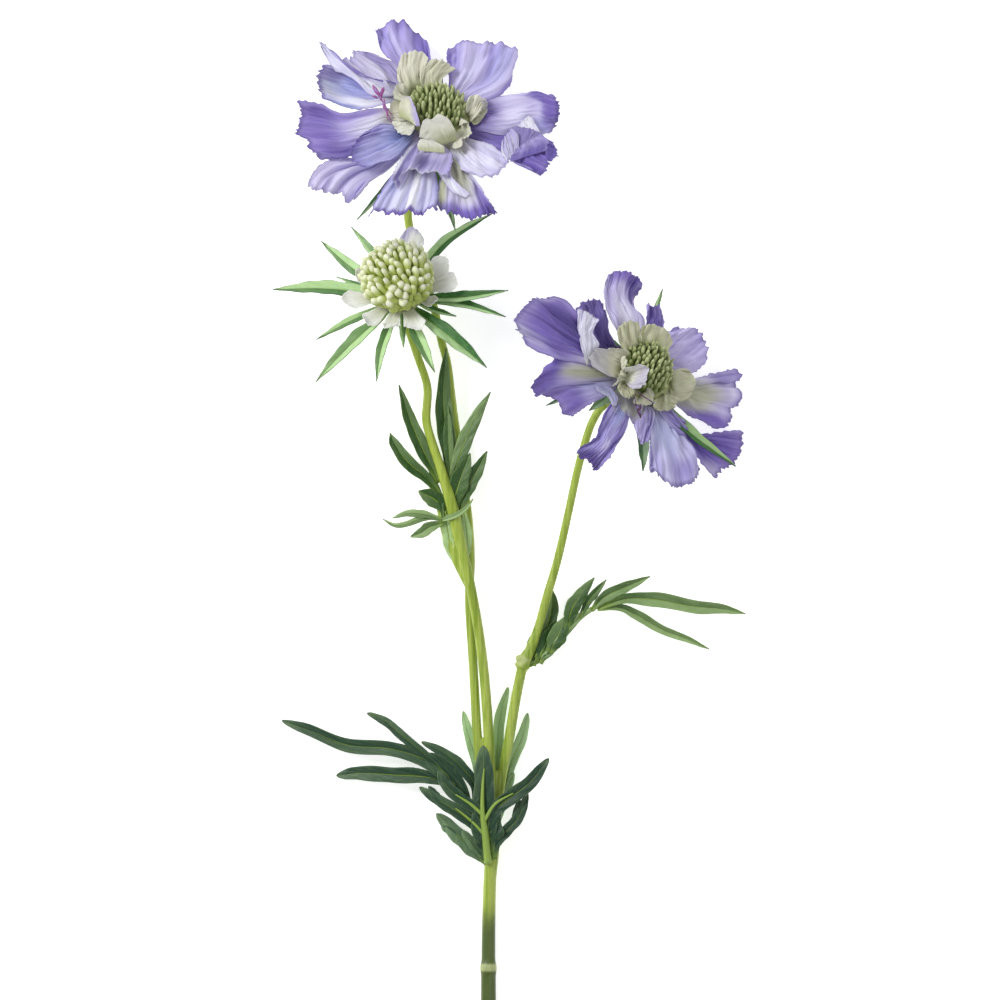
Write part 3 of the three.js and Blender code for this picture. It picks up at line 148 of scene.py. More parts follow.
class Petal(NamedTuple):
    """A petal by its edges, in its head's frame: x, y and height over the disc."""

    foot: tuple | None  # azimuth and width of the claw, or None for a fold with no claw
    right: list  # the edge on the right, looking out from the head, from the foot outwards
    tip: list  # the free end, from right to left
    left: list  # the edge on the left, from the foot outwards
    folds: list  # heights of the pleats from right to left
    look: tuple  # outer: depth, blue cast, pale foot; inner: lilac flush, greenness, white
    # A wash lays pigment, or painted shadow cast by neighbouring petals and stamens.
    washes: list | tuple = ()  # pigment, place across and along, half breadth and length, strength


# Petals of each bloom, each row written as a Petal. Those with no claw are folded-over
# margins and turned-up lobes.
OUTER_PETALS = {
    "bloom_1": [
        ((113, 3.2),
         [(-0.2, 11.5, 1.5), (-1.4, 18.7, 1.5)],
         [(-2.7, 29.5, -0.7), (-4.3, 34.3, -2), (-7.4, 36.1, -2.4), (-10.4, 38.1, -2.4),
          (-14.4, 36.4, -2.1), (-17.6, 33.4, -1.1), (-19, 30.4, 0.1)],
         [(-7.2, 9.7, 1.5), (-12.5, 15.9, 2.3), (-16.5, 21.4, 2.3)],
         [-0.2, -1, -0.2, 1, 1.2, 0.2, -0.3], (0.7, 0.3, 0),
         [("violet", -0.55, 0.6, 0.5, 0.6, 0.8), ("deep", 0.35, 0.08, 0.6, 0.2, 0.6),
          ("pale", 0.45, 0.72, 0.1, 0.4, 0.3), ("violet", 0, 1, 0.9, 0.12, 0.5),
          ("deep", -0.3, 0.5, 0.06, 0.3, 0.4)]),
        ((52, 4),
         [(11.1, 6.4, 1.5), (17.5, 7.6, 3.1), (21.8, 13.5, 3.1)],
         [(23.9, 22.5, 1.5), (23.2, 28.2, 1.9), (20, 29.9, 2.7), (16.7, 30.6, 2.3),
          (13.1, 29.2, 2.3), (9, 29, 2.7), (5.4, 27.2, 2.3), (3.1, 24.3, 1.5)],
         [(3.3, 11, 0.9), (3.4, 14, 2.1)],
         [-0.6, 0.9, 0.2, -0.9, 0.6, -0.5, 0.8, -0.4, 0.3], (0.5, 0.3, 0),
         [("pale", 0.25, 0.6, 0.18, 0.45, 0.35), ("green", 0.2, 0.5, 0.3, 0.5, 0.15),
          ("violet", -0.12, 0.85, 0.08, 0.3, 0.4), ("azure", -0.5, 0.7, 0.3, 0.4, 0.35),
          ("violet", 0.95, 0.6, 0.1, 0.6, 0.7), ("violet", 0.75, 0.75, 0.15, 0.4, 0.4),
          ("violet", -0.95, 0.7, 0.1, 0.5, 0.6), ("green", 0.2, 0, 0.8, 0.2, 0.6),
          ("deep", 0, 0, 1, 0.1, 0.4)]),
        # The green, violet and deep washes at this petal's foot are painted shadow of the cream
        # petals and the petal beside it.
        ((2, 4),
         [(13.6, -5, 1.1), (20.2, -5.9, 1.9), (27.5, -2.4, 1.9), (31.5, -3.5, 1.5)],
         [(34.2, -2.3, 1.5), (35.6, 0.9, 2.3), (36.2, 4.7, 2.7), (36.3, 8.3, 2.3),
          (35.1, 13, 0.4)],
         [(14.2, 7.2, 1.1), (20.4, 9.5, 2.3), (25.5, 10.7, 2.7), (30.6, 13.4, 1.5)],
         [-0.5, 0.4, 1, 0.2, -0.6, 0.5, 0], (0.4, 0, 0),
         [("green", 0, 0.15, 1.6, 0.3, 0.5), ("violet", 0, 0.15, 1.6, 0.3, 0.85),
          ("deep", 0.2, 0.05, 1.4, 0.22, 0.5), ("pale", 0, 0.55, 0.8, 0.16, 0.35),
          ("violet", 0.72, 0.85, 0.36, 0.16, 0.9), ("violet", 0.05, 0.9, 0.9, 0.08, 0.75),
          ("azure", -0.75, 0.88, 0.4, 0.14, 0.5), ("violet", 0, 1, 1.2, 0.08, 0.7),
          ("deep", 0, 1, 1.2, 0.04, 0.6), ("deep", 0.98, 0.6, 0.06, 0.5, 0.4)]),
        # The deep wash at this petal's foot is painted shadow, where it runs under the petals on
        # either side.
        ((-30, 3),
         [(11.4, -12.5, 0.2), (19, -14.1, 1.4), (22.4, -18, 2.8)],
         [(27.7, -20.6, 3.5), (29.8, -21.5, 3.5), (32.2, -19.6, 4), (32.9, -15.7, 3.3),
          (34.7, -14.7, 3.8), (34.3, -11.2, 4.3), (32.9, -7.7, 3.8)],
         [(13.2, -2.1, 0), (19.8, -2.9, 0.7), (23.2, -2.7, 2), (28.4, -5.1, 3.7)],
         [0.5, -0.8, 0.6, 0.8, -0.6, 0.4, 0.2], (0.85, 0, 0),
         [("violet", 0, 0.75, 1.4, 0.5, 0.8), ("deep", 0.3, 0.66, 0.7, 0.12, 0.7),
          ("deep", -0.4, 0.9, 0.06, 0.2, 0.5), ("deep", 0.6, 0.95, 0.3, 0.1, 0.7),
          ("deep", 0, 0.15, 1.4, 0.26, 0.55), ("pale", -0.95, 0.85, 0.08, 0.3, 0.4),
          ("azure", -0.5, 0.85, 0.4, 0.2, 0.3)]),
        ((-44, 4),
         [(4.6, -17.2, 1.1), (7.5, -21.9, 1.5)],
         [(11.2, -22.6, 1.1), (14.8, -23.2, 1.5), (18.1, -21.1, 1.5), (20.2, -18, 1.9),
          (20.5, -13.9, 1.9)],
         [(9.4, -9, 1.2), (15.3, -11, 1.8)],
         [0, 0.5, -0.4, 0.5, -0.3, 0.4], (0.25, 0, 0.4),
         [("pale", 0, 0.6, 1.2, 0.5, 0.4), ("green", -0.2, 0.15, 1, 0.4, 0.55),
          ("violet", 0.6, 0.6, 0.3, 0.4, 0.25), ("violet", 0, 1, 1.2, 0.05, 0.3)]),
        ((-75, 3.6),
         [(2.3, -18.5, 0.4), (1.1, -27.4, 0.4)],
         [(0.6, -35.8, 0), (3.5, -38.4, 0.8), (6.1, -37.9, 1.5), (8.6, -39.3, 0.8),
          (10.7, -40.5, 1.1), (13.6, -38.8, 1.5), (16.1, -36.5, 1.1), (18, -38.1, 2.3)],
         [(6.4, -16.6, 0.8), (10.9, -23.4, 1.1), (14.8, -31.1, 1.5)],
         [0.3, 0.6, -0.8, -0.2, 0.9, 0.2, -0.4, 0.2], (0.3, 0, 0.5),
         [("green", -0.85, 0.72, 0.2, 0.55, 0.9), ("green", 0.05, 0.4, 0.9, 0.45, 0.75),
          ("violet", 0, 1, 1.2, 0.13, 0.95), ("violet", 0.75, 0.82, 0.3, 0.24, 0.6),
          ("deep", 0.9, 1, 0.25, 0.14, 0.8), ("deep", -0.98, 0.6, 0.05, 0.5, 0.5),
          ("deep", 0, 1, 1.2, 0.03, 0.5), ("pale", -0.45, 0.6, 0.12, 0.4, 0.5)]),
        ((-107, 4.4),
         [(-8.4, -15.9, 1.1), (-13.7, -27.5, 1.1), (-17.2, -34.8, 0.8)],
         [(-19.7, -41.5, 0.4), (-17.1, -41.1, 0.8), (-14.1, -41.2, 0.9), (-10.8, -41.3, 0.8),
          (-7.9, -39.5, 0.9), (-5.1, -40.1, 0.8), (-2.2, -38.2, 0.9), (0.2, -37.4, 0.8)],
         [(-0.8, -18.5, 0.8), (0.4, -28, 0.9)],
         [-0.2, 0.2, -0.3, 0.3, -0.2, 0.6, 0.3, -0.4, 0.2, -0.1], (0.3, 0.45, 0),
         [("pale", 0.12, 0.6, 0.2, 0.9, 0.9), ("pale", -0.4, 0.6, 0.25, 0.7, 0.45),
          ("azure", -0.7, 0.5, 0.25, 0.6, 0.4), ("green", 0.1, 0.4, 0.5, 0.4, 0.25),
          ("violet", -1, 0.7, 0.08, 0.6, 0.6), ("violet", 0, 1, 1.2, 0.05, 0.85),
          ("pale", 0.62, 0.5, 0.2, 0.6, 0.5), ("violet", 0.97, 0.6, 0.07, 0.6, 0.4)]),
        ((-103, 4),
         [(-7.6, -13.8, 1.5), (-10.8, -21.5, 3.4)],
         [(-13.6, -29, 4.2), (-12.2, -31.7, 3.4), (-10.2, -29.3, 3.8), (-7.4, -26, 4.6),
          (-4.2, -26.1, 3.8), (0, -25.8, 3.8), (2.7, -27.4, 3.8)],
         [(2.1, -12.3, 1.5), (4.2, -18.5, 3.4)],
         [0, -0.6, 0.6, 0.9, -0.8, 0.5, 0.5, 0], (0.55, 0, 0.1),
         [("green", 0, 0.5, 1.4, 0.8, 0.25), ("violet", -0.5, 0.6, 0.4, 0.5, 0.35),
          ("deep", 0.2, 0.82, 0.5, 0.14, 0.5), ("pale", -0.95, 0.6, 0.08, 0.5, 0.8),
          ("green", 0.1, 0.08, 0.6, 0.25, 0.5), ("pale", 0.1, 0.25, 0.4, 0.18, 0.5),
          ("pale", 0, 1, 1.2, 0.03, 0.9)]),
        ((-137, 4),
         [(-13.3, -15.3, -0.4), (-22.2, -19.2, -1.1), (-30.6, -21.2, -1.1), (-35.4, -25.8, -0.4)],
         [(-38.1, -32, 0.4), (-36.8, -34.6, 0), (-33.4, -33.9, -0.8), (-30.8, -34.9, 0),
          (-28.3, -33.9, -0.8), (-26, -37.4, 0), (-23.6, -35.9, 0)],
         [(-10.3, -17.3, -0.4), (-15, -24.3, -0.4), (-19.8, -29.4, 0)],
         [0, 0.7, -0.5, 0.8, -0.8, 0.7, -0.7, 0.4], (0.36, 0.15, 0),
         [("pale", 0, 0.8, 1.2, 0.3, 0.22), ("violet", -0.45, 0.8, 0.08, 0.35, 0.35),
          ("violet", 0.15, 0.8, 0.08, 0.35, 0.35), ("violet", 0.75, 0.75, 0.08, 0.35, 0.35),
          ("violet", 0, 0.3, 1, 0.3, 0.3)]),
        ((-155, 3.6),
         [(-11.9, -7.7, 1.7), (-16.9, -8.9, 3.1)],
         [(-21.8, -13.1, 3.8), (-24.7, -17.6, 3.4), (-25.5, -21.8, 3.1), (-23.3, -25.5, 2.7),
          (-20, -26.5, 3.1)],
         [(-9.7, -15.8, 1.7), (-14.3, -21.8, 2.7)],
         [0.3, 0.8, 0, -0.4, 0.4, 0.1], (0.5, 0.5, 0),
         [("azure", 0, 0.25, 1.2, 0.4, 0.9), ("violet", 0, 1, 1.2, 0.1, 0.5),
          ("violet", -0.6, 0.85, 0.5, 0.25, 0.5), ("pale", 0.5, 0.1, 0.5, 0.12, 0.5),
          ("deep", -1, 0.6, 0.06, 0.5, 0.4)]),
        ((-178, 4.2),
         [(-14.8, 0.3, 0.8), (-23.3, -2.5, 1.1), (-29.4, -4.6, 1.5), (-35.6, -2.6, 2.3)],
         [(-42, -2.7, 2.7), (-40.6, -5.4, 1.9), (-40.8, -9.9, 1.5), (-41.3, -14.8, 1.5),
          (-38.5, -16.4, 1.1), (-37.2, -20.3, 0.8), (-34.7, -22.4, 0.4)],
         [(-12.6, -9, 0.8), (-20.1, -15.9, 0.9), (-27.5, -21.1, 0.6)],
         [0.2, -0.6, 0.6, 0.2, -0.3, 0.5, -0.2, 0], (0.6, 0, 0.3),
         [("violet", -0.2, 0.88, 1.2, 0.22, 0.7), ("deep", -0.75, 0.85, 0.25, 0.16, 0.5),
          ("pale", 0.1, 0.4, 0.9, 0.22, 0.6), ("green", 0, 0.14, 1.2, 0.2, 0.5),
          ("violet", -0.85, 0.5, 0.2, 0.3, 0.5), ("deep", 0.7, 0.78, 0.35, 0.14, 0.4),
          ("violet", 0.85, 0.55, 0.25, 0.4, 0.6), ("deep", 0, 1, 1.2, 0.03, 0.5)]),
        ((160, 3),
         [(-13.2, 7.9, 1.5), (-20, 7.8, 2.3), (-26.7, 10.5, 2.3)],
         [(-33.9, 14.1, 1.5), (-35.6, 10.5, 1.1), (-35.2, 5.7, 1.1), (-34.3, 1.5, 1.5),
          (-31.6, -0.5, 1.5)],
         [(-13.1, 1.6, 1.4), (-22.2, -1.9, 1.5), (-27, -1.8, 1.5)],
         [0.2, -0.6, 0.7, 0.1, -0.5, 0.2], (0.55, 0.5, 0.2),
         [("azure", -0.3, 0.7, 0.7, 0.4, 0.6), ("green", -0.3, 0.92, 0.9, 0.2, 0.6),
          ("deep", -0.7, 0.88, 0.5, 0.14, 0.65), ("pale", 0.5, 0.5, 0.45, 0.4, 0.8),
          ("azure", 1, 0.9, 0.3, 0.3, 0.6), ("deep", 0, 1, 1.2, 0.05, 0.6)]),
        ((152, 1.8),
         [(-11.4, 8.9, 1.7), (-22.1, 9, 4.2), (-28.4, 12.7, 5.4)],
         [(-33, 17.2, 5), (-36, 20, 4.6), (-35.2, 17.1, 3.8)],
         [(-12, 3.9, 1.7), (-20.3, 2.6, 2.7), (-26.2, 8.3, 3.4), (-32, 12.2, 3.1)],
         [0.8, -0.4, 0.8], (0.2, 0, 0.1),
         [("violet", -0.9, 0.5, 0.25, 0.8, 0.7), ("pale", 0.3, 0.6, 0.5, 0.8, 0.6)]),
        ((138, 3.4),
         [(-9, 10.9, 1.7), (-13.2, 16.3, 3.1), (-17.3, 17.4, 3.4)],
         [(-21.5, 19.2, 3.4), (-24.5, 19.5, 3.1), (-26.9, 15.5, 3.4), (-29.7, 14.3, 3.8)],
         [(-11.4, 4, 1.7), (-17.6, 4.5, 2.8), (-23.8, 9.5, 3.4)],
         [0.2, -0.4, 0.6, -0.2, 0.3], (0.45, 0, 0.15),
         [("green", 0, 0.5, 1.4, 0.9, 0.3), ("pale", 0.1, 0.7, 0.5, 0.3, 0.3),
          ("violet", -0.5, 0.5, 0.4, 0.6, 0.4), ("deep", 0, 0.5, 0.04, 0.5, 0.4),
          ("deep", -0.5, 0.5, 0.04, 0.4, 0.35), ("pale", 0.9, 0.6, 0.2, 0.5, 0.6)]),
        (None,
         [(20.9, -17.3, 2.6), (19.2, -14.1, 3.2)],
         [(19.2, -11, 3.8), (20.6, -8.1, 4.4), (22.2, -5.7, 4.9)],
         [(24, -15.4, 4.1), (24.2, -12.3, 4.7), (23.8, -8.9, 5.4)],
         [0, 0.5, -0.3, 0.4, -0.3, 0.45, -0.3, 0.1], (0.5, 0, 0),
         [("pale", -0.98, 0.5, 0.12, 1.5, 0.9), ("pale", -0.3, 0.5, 0.08, 1.5, 0.7),
          ("pale", 0.35, 0.6, 0.07, 0.8, 0.6), ("green", 0, 0.3, 1.4, 0.8, 0.25)]),
        (None,
         [(21.7, -14.2, 3.4), (21.9, -9.9, 4)],
         [(22.8, -5, 4.4), (25.7, -5.5, 5.1), (30.2, -7.2, 5.5)],
         [(26.1, -13.6, 4.3), (28.4, -10.4, 5.2)],
         [0, 0.3, -0.2, 0.2], (0.6, 0, 0),
         [("green", 0, 0.5, 1.6, 1.6, 0.45), ("violet", 0, 0.5, 1.6, 1.6, 0.6)]),
        (None,
         [(21.7, -18.5, 3.7), (21.8, -17.1, 4.4)],
         [(22.6, -15.7, 5.2), (24.9, -13.5, 5.8), (27.9, -10.3, 6.1), (30.7, -7.8, 5.8)],
         [(33, -13.1, 4.9), (33.1, -10.1, 5.7)],
         [0, 0.4, -0.2, 0.4, -0.1, 0.3], (0.75, 0.1, 0),
         [("violet", 0, 0.1, 1.6, 0.5, 0.7), ("pale", 0.1, 0.85, 1.2, 0.2, 0.2),
          ("deep", 0.6, 0.3, 0.3, 0.4, 0.3)]),
        (None,
         [(32.6, -16.1, 3.7), (33.3, -17, 4.4)],
         [(34.1, -17.1, 5.1), (35.2, -15.6, 5.8), (35.2, -13.2, 5.8), (34.1, -10.9, 5.4)],
         [(32, -11.8, 5.1), (33.2, -10.3, 5.4)],
         [0, 0.4, -0.1, 0.3], (1, 0, 0),
         [("violet", 0, 0.5, 1.6, 1.6, 0.8), ("deep", 0, 0.6, 1.6, 0.6, 0.7)]),
        (None,
         [(0.3, -25, 2), (2.4, -28.2, 2), (4.5, -31.4, 1.9)],
         [(6.6, -32.3, 1.9), (8.7, -32.8, 1.9), (9.6, -31.8, 2.3)],
         [(3.2, -23.7, 2.5), (5.2, -28.2, 3.4), (7.3, -30.4, 3.1)],
         [0.2, -0.3, 0.5], (0.1, 0, 0),
         [("pale", 0, 0.5, 0.7, 1, 0.7), ("violet", -1, 0.5, 0.12, 0.8, 0.5),
          ("green", -0.8, 0.2, 0.3, 0.4, 0.4)]),
        (None,
         [(23.9, -3.6, 3.1), (25.3, -1.5, 3.7)],
         [(26.5, -0.2, 4), (27.4, 0.2, 4.1), (28.3, -0.3, 4)],
         [(30.9, -4.5, 3.1), (29.6, -2.3, 3.5)],
         [0.1, 0, 0.1], (0.1, 0, 0),
         [("pale", 0, 0.6, 1, 0.8, 0.8)]),
    ],
    "bloom_2": [
        ((112, 3.4),
         [(0.7, 10.8, 1.6), (-0.1, 16.2, 2.4), (-3.6, 19.6, 1.6), (-4.1, 22.4, 2.4)],
         [(-1.7, 26.2, 3.2), (-2.9, 28.1, 2.4), (-5.6, 29.3, 2), (-9.3, 29.3, 1.6),
          (-12.6, 27.3, 1.6), (-14.1, 24.7, 1.6)],
         [(-9.1, 8.4, 1.6), (-12.5, 13.2, 2.4), (-15, 19.5, 2.4)],
         [-0.8, 0.3, 0.8, 0.2, -0.2, 0.4], (0.42, 0, 0.2),
         [("violet", -0.2, 1, 1, 0.16, 0.85), ("deep", -0.7, 0.85, 0.3, 0.2, 0.7),
          ("deep", -0.75, 0.6, 0.08, 0.3, 0.6), ("pale", 0.15, 0.5, 0.5, 0.28, 0.45),
          ("green", 0, 0.08, 0.8, 0.15, 0.4)]),
        ((80, 2.2),
         [(7.5, 11.1, 0.2), (7.2, 16.3, 0.8)],
         [(6.1, 21.5, 0.8), (3.7, 20.9, 1.1), (1.4, 21.2, 0.8)],
         [(3.2, 10.2, 0.2), (1.7, 15.4, 0.8)],
         [0, 0.5, -0.2, 0.3], (0.8, 0, 0),
         [("violet", 0, 0.6, 1, 0.6, 0.7), ("pale", 0.1, 0.7, 0.1, 0.5, 0.3),
          ("deep", -0.8, 0.5, 0.2, 0.5, 0.5)]),
        ((31, 4),
         [(13.3, 1, 1.2), (18.6, 3.6, 1.6)],
         [(22.9, 7.8, 1.2), (22.4, 12.1, 1.6), (20.2, 15.8, 1.6), (17.6, 16.9, 1.6),
          (14.7, 16.3, 1.6), (12, 16.2, 1.2)],
         [(5.9, 9.7, 0.4), (8.5, 13.8, 1.4)],
         [0, 0.4, -0.2, 0.3, 0.4, -0.2], (0.5, 0, 0.1),
         [("violet", 0.8, 0.5, 0.25, 0.5, 0.3), ("pale", 0.1, 0.6, 0.3, 0.4, 0.15),
          ("violet", 0, 1, 1, 0.08, 0.35), ("green", 0.4, 0.1, 0.7, 0.2, 0.4)]),
        ((-5, 4),
         [(12, -8.4, 0.8), (16.6, -11.6, 1.6), (20.7, -12.2, 2)],
         [(25.3, -13.4, 1.6), (29.1, -12.1, 2), (31, -8.8, 2), (30.7, -5.7, 0.9),
          (33.7, -3.8, 2), (34.5, -0.5, 2.4), (33.3, 2.7, 1.6), (33.6, 4.3, -0.3),
          (34.6, 5, 2.4), (32.2, 6.5, 3.2)],
         [(13.3, 0, 1.2), (18.7, 1.1, 2.4), (23.6, 2.9, 2.8)],
         [0.4, -0.8, 0.6, 0.2, -0.5, 0.6, 0], (0.45, 0, 0.3),
         [("green", 0, 0.42, 1, 0.42, 0.85), ("violet", 0.8, 0.8, 0.35, 0.25, 0.5),
          ("deep", -0.2, 0.2, 0.2, 0.12, 0.9), ("violet", -0.8, 0.75, 0.3, 0.35, 0.85),
          ("deep", -1, 0.6, 0.12, 0.4, 0.6), ("pale", 0.3, 0.92, 0.35, 0.08, 0.4),
          ("violet", 0, 0.98, 1.2, 0.06, 0.4), ("deep", 0, 1, 1.2, 0.03, 0.4)]),
        ((-32, 2.6),
         [(11.1, -13.2, 0), (16.4, -18.4, -0.4), (22.5, -24.1, -0.8)],
         [(27.5, -27.5, -1.2), (28.8, -24.9, -0.4), (32.3, -22.8, 0.4), (34.7, -19.3, 0.8),
          (35.3, -15.9, 1.6), (34.3, -12.7, 2)],
         [(13.7, -11.8, 0.4), (19.6, -16.2, 0.8), (26.5, -14.9, 2)],
         [0, -0.5, 0.8, 0.2, -0.4, 0.3], (0.95, 0, 0),
         [("violet", 0, 0.6, 1.1, 0.6, 0.9), ("deep", 0.3, 0.6, 0.4, 0.25, 0.5),
          ("pale", -0.8, 0.9, 0.3, 0.12, 0.45), ("deep", -0.3, 0.3, 0.5, 0.25, 0.5),
          ("deep", 0.05, 0.7, 0.05, 0.3, 0.5)]),
        ((-70, 4),
         [(1.8, -13.7, 0.8), (1.5, -22.9, 1.6)],
         [(2.8, -30.2, 1.2), (5.7, -32.5, 1.2), (9.4, -34.1, 1.6), (13.8, -33.6, 1.6),
          (17.5, -31.2, 1.6), (19.7, -27.6, 1.6)],
         [(9.1, -11.9, 0.8), (14.3, -18.1, 1.6), (18.7, -23.5, 2)],
         [0.2, -0.3, 0.5, -0.5, 0.6, 0.3, -0.2], (0.35, 0.4, 0.1),
         [("pale", 0, 0.35, 1, 0.35, 0.4), ("azure", 0, 0.4, 1, 0.3, 0.5),
          ("green", 0.2, 0.1, 0.6, 0.18, 0.5), ("violet", 0.3, 0.88, 0.8, 0.14, 0.45),
          ("violet", -1, 0.7, 0.1, 0.4, 0.5), ("deep", 0, 1, 1.2, 0.05, 0.5),
          ("violet", 1, 0.7, 0.1, 0.4, 0.5)]),
        ((-121, 3),
         [(-12, -13.3, 0.8), (-16.1, -19.8, 1.6), (-17.2, -24.8, 1.6)],
         [(-22.8, -29.1, 0.8), (-22.9, -31.1, 0.9), (-20.4, -32.3, 1.4), (-18.8, -34.1, 1.2),
          (-16.8, -34.9, 0.8)],
         [(-4.7, -14.7, 0.8), (-7.8, -21.7, 2), (-12.8, -28.6, 2.4)],
         [0, -0.5, 0.4, 0.6, 0], (0.65, 0.3, 0),
         [("deep", 0, 1, 1, 0.14, 0.9), ("pale", 0.25, 0.76, 0.4, 0.09, 0.35),
          ("azure", 0.1, 0.3, 0.5, 0.3, 0.6), ("violet", -0.9, 0.5, 0.25, 0.5, 0.7),
          ("violet", 0.7, 0.6, 0.3, 0.4, 0.6), ("deep", -0.3, 0.05, 0.6, 0.1, 0.5)]),
        ((-160, 3.8),
         [(-15.5, -1.6, 0.8), (-24.7, -1.8, 1.6), (-31.3, -2.2, 2.4)],
         [(-34.9, -5.1, 2.4), (-38, -9.1, 2.8), (-40.6, -13.6, 2.4), (-38.6, -16.1, 1.6),
          (-33.8, -14.3, 0.8), (-30.9, -16.3, 1.2), (-29.1, -19.1, 1.2), (-26, -19.7, 0.8)],
         [(-10.8, -8.9, 0.8), (-15.8, -12.3, 1.2), (-21.2, -15.6, 1.2)],
         [-0.3, 0.6, 0.2, -0.8, 0.6, 0.2], (0.6, 0.15, 0.1),
         [("violet", -0.5, 0.9, 0.7, 0.2, 0.9), ("deep", -0.2, 0.97, 0.35, 0.1, 0.5),
          ("green", -0.55, 0.33, 0.34, 0.5, 0.85), ("green", 0.2, 0.3, 0.8, 0.4, 0.3),
          ("azure", 0.5, 0.4, 0.5, 0.4, 0.4), ("violet", 0.7, 0.85, 0.4, 0.25, 0.7),
          ("deep", 0.2, 0.7, 0.1, 0.2, 0.5), ("deep", 0.95, 0.3, 0.12, 0.4, 0.4)]),
        ((163, 4),
         [(-15.5, 4.9, 1.4), (-20.8, 8.3, 2.4), (-25.6, 12.1, 3.2), (-29.2, 14.6, 3.2)],
         [(-33.9, 15.5, 3.2), (-38.7, 14.5, 3.9), (-43, 11.4, 3.9), (-45.9, 7.7, 3.5),
          (-47.1, 3.5, 3.2), (-43.7, 1.6, 2.4), (-42.8, -1.3, 2)],
         [(-14.5, -2.2, 1.4), (-24, -2.7, 2.8), (-32.9, -3.7, 3.2)],
         [0.2, -0.8, 0.4, 0.9, -0.6, 0.6, -0.2, 0.2], (0.8, 0, 0),
         [("deep", -0.45, 0.5, 0.42, 0.4, 0.85), ("deep", 0.02, 0.5, 0.05, 0.45, 0.8),
          ("violet", -0.1, 0.6, 1, 0.6, 0.8), ("pale", -0.2, 0.97, 1, 0.08, 0.45),
          ("pale", 0.5, 0.86, 0.4, 0.16, 0.5), ("pale", 0.85, 0.28, 0.25, 0.3, 0.6),
          ("deep", 0.4, 0.55, 0.05, 0.3, 0.5), ("deep", -0.3, 0.6, 0.04, 0.3, 0.5)]),
        ((132, 3),
         [(-10.1, 6, 1.4), (-12.6, 9.5, 2)],
         [(-13.4, 14.6, 1.6), (-16, 17.5, 1.7), (-19.1, 17.8, 2), (-22.3, 16.1, 2),
          (-24.2, 13.6, 1.6)],
         [(-15.2, 2.1, 1.4), (-19.4, 5.4, 2.4)],
         [-0.4, 0.6, -0.6, 0.2], (0.95, 0, 0),
         [("deep", 0, 0.5, 1, 0.6, 0.8), ("deep", 0, 1, 1, 0.1, 0.6),
          ("pale", 0.35, 0.6, 0.18, 0.25, 0.25)]),
        ((-92, 2),
         [(-2.1, -13.2, 1.7), (-3.2, -17.1, 2.2)],
         [(-3.7, -21, 2.4), (-2, -23.3, 2.5), (0.2, -22.5, 2.5), (1.4, -19.4, 2.4)],
         [(3, -12.2, 1.7), (3, -15.5, 2.2)],
         [0, 0.3, 0], (0.4, 0, 0.2),
         [("violet", 0, 0.7, 1, 0.5, 0.5), ("green", 0, 0.1, 1, 0.3, 0.4)]),
        ((-46, 2),
         [(5.1, -11.9, 1.3), (8.6, -15.6, 2)],
         [(12.9, -17.9, 2), (14.1, -16.5, 2.4), (13.4, -14.4, 2.4)],
         [(8.4, -10, 1.3), (10.5, -12.1, 2.4)],
         [0, 0.4, 0], (0.55, 0.1, 0.1),
         [("violet", 0, 0.7, 1, 0.5, 0.5)]),
        # The green and deep washes of this fold are painted shadow cast by the stamens above it.
        (None,
         [(-10.8, -8.3, 0.8), (-11.6, -11.6, 0.8)],
         [(-11.2, -15.2, 1.3), (-8.9, -17.1, 1.6), (-6.2, -15.8, 1.3), (-4.1, -17.5, 1.9),
          (-1.4, -17.5, 1.7), (0.5, -14.9, 1.6)],
         [(1.8, -8.3, 0.8), (2, -11.5, 1.1)],
         [0.3, -0.6, 0.6, -0.6, 0.5, -0.3], (0.5, 0, 0),
         [("green", 0, 0.3, 1.6, 0.8, 0.8), ("deep", 0.1, 0.25, 1.6, 0.45, 0.5),
          ("violet", 0.2, 0.95, 1.6, 0.25, 0.4)]),
        (None,
         [(-19.2, 1.3, 3.2), (-17.9, 3.9, 3.9), (-20.7, 6.7, 4.3)],
         [(-19.1, 11, 5.1), (-22.7, 12.4, 5.1), (-25.7, 13, 4.3)],
         [(-21.6, -3.5, 2.8), (-24.2, 2.1, 3.5), (-25.5, 8.1, 3.9)],
         [0.3, -0.3, 0.3, -0.1], (0.12, 0, 0.2),
         [("pale", 0, 0.5, 1.2, 1.2, 0.55), ("violet", 0.6, 0.9, 0.3, 0.15, 0.3)]),
        (None,
         [(-10.3, -13.5, 1.6), (-9.9, -11, 2), (-12.3, -8.8, 2.4)],
         [(-15.7, -8.8, 3.2), (-18.6, -9.4, 3.2)],
         [(-11.3, -13.7, 1.4), (-13.2, -11.3, 1.6), (-17.7, -10.5, 2.4)],
         [0, 0.2, 0], (0.3, 0.3, 0),
         [("azure", 0, 0.5, 1, 1, 0.4), ("pale", 0.5, 0.5, 0.4, 0.5, 0.5)]),
    ],
}
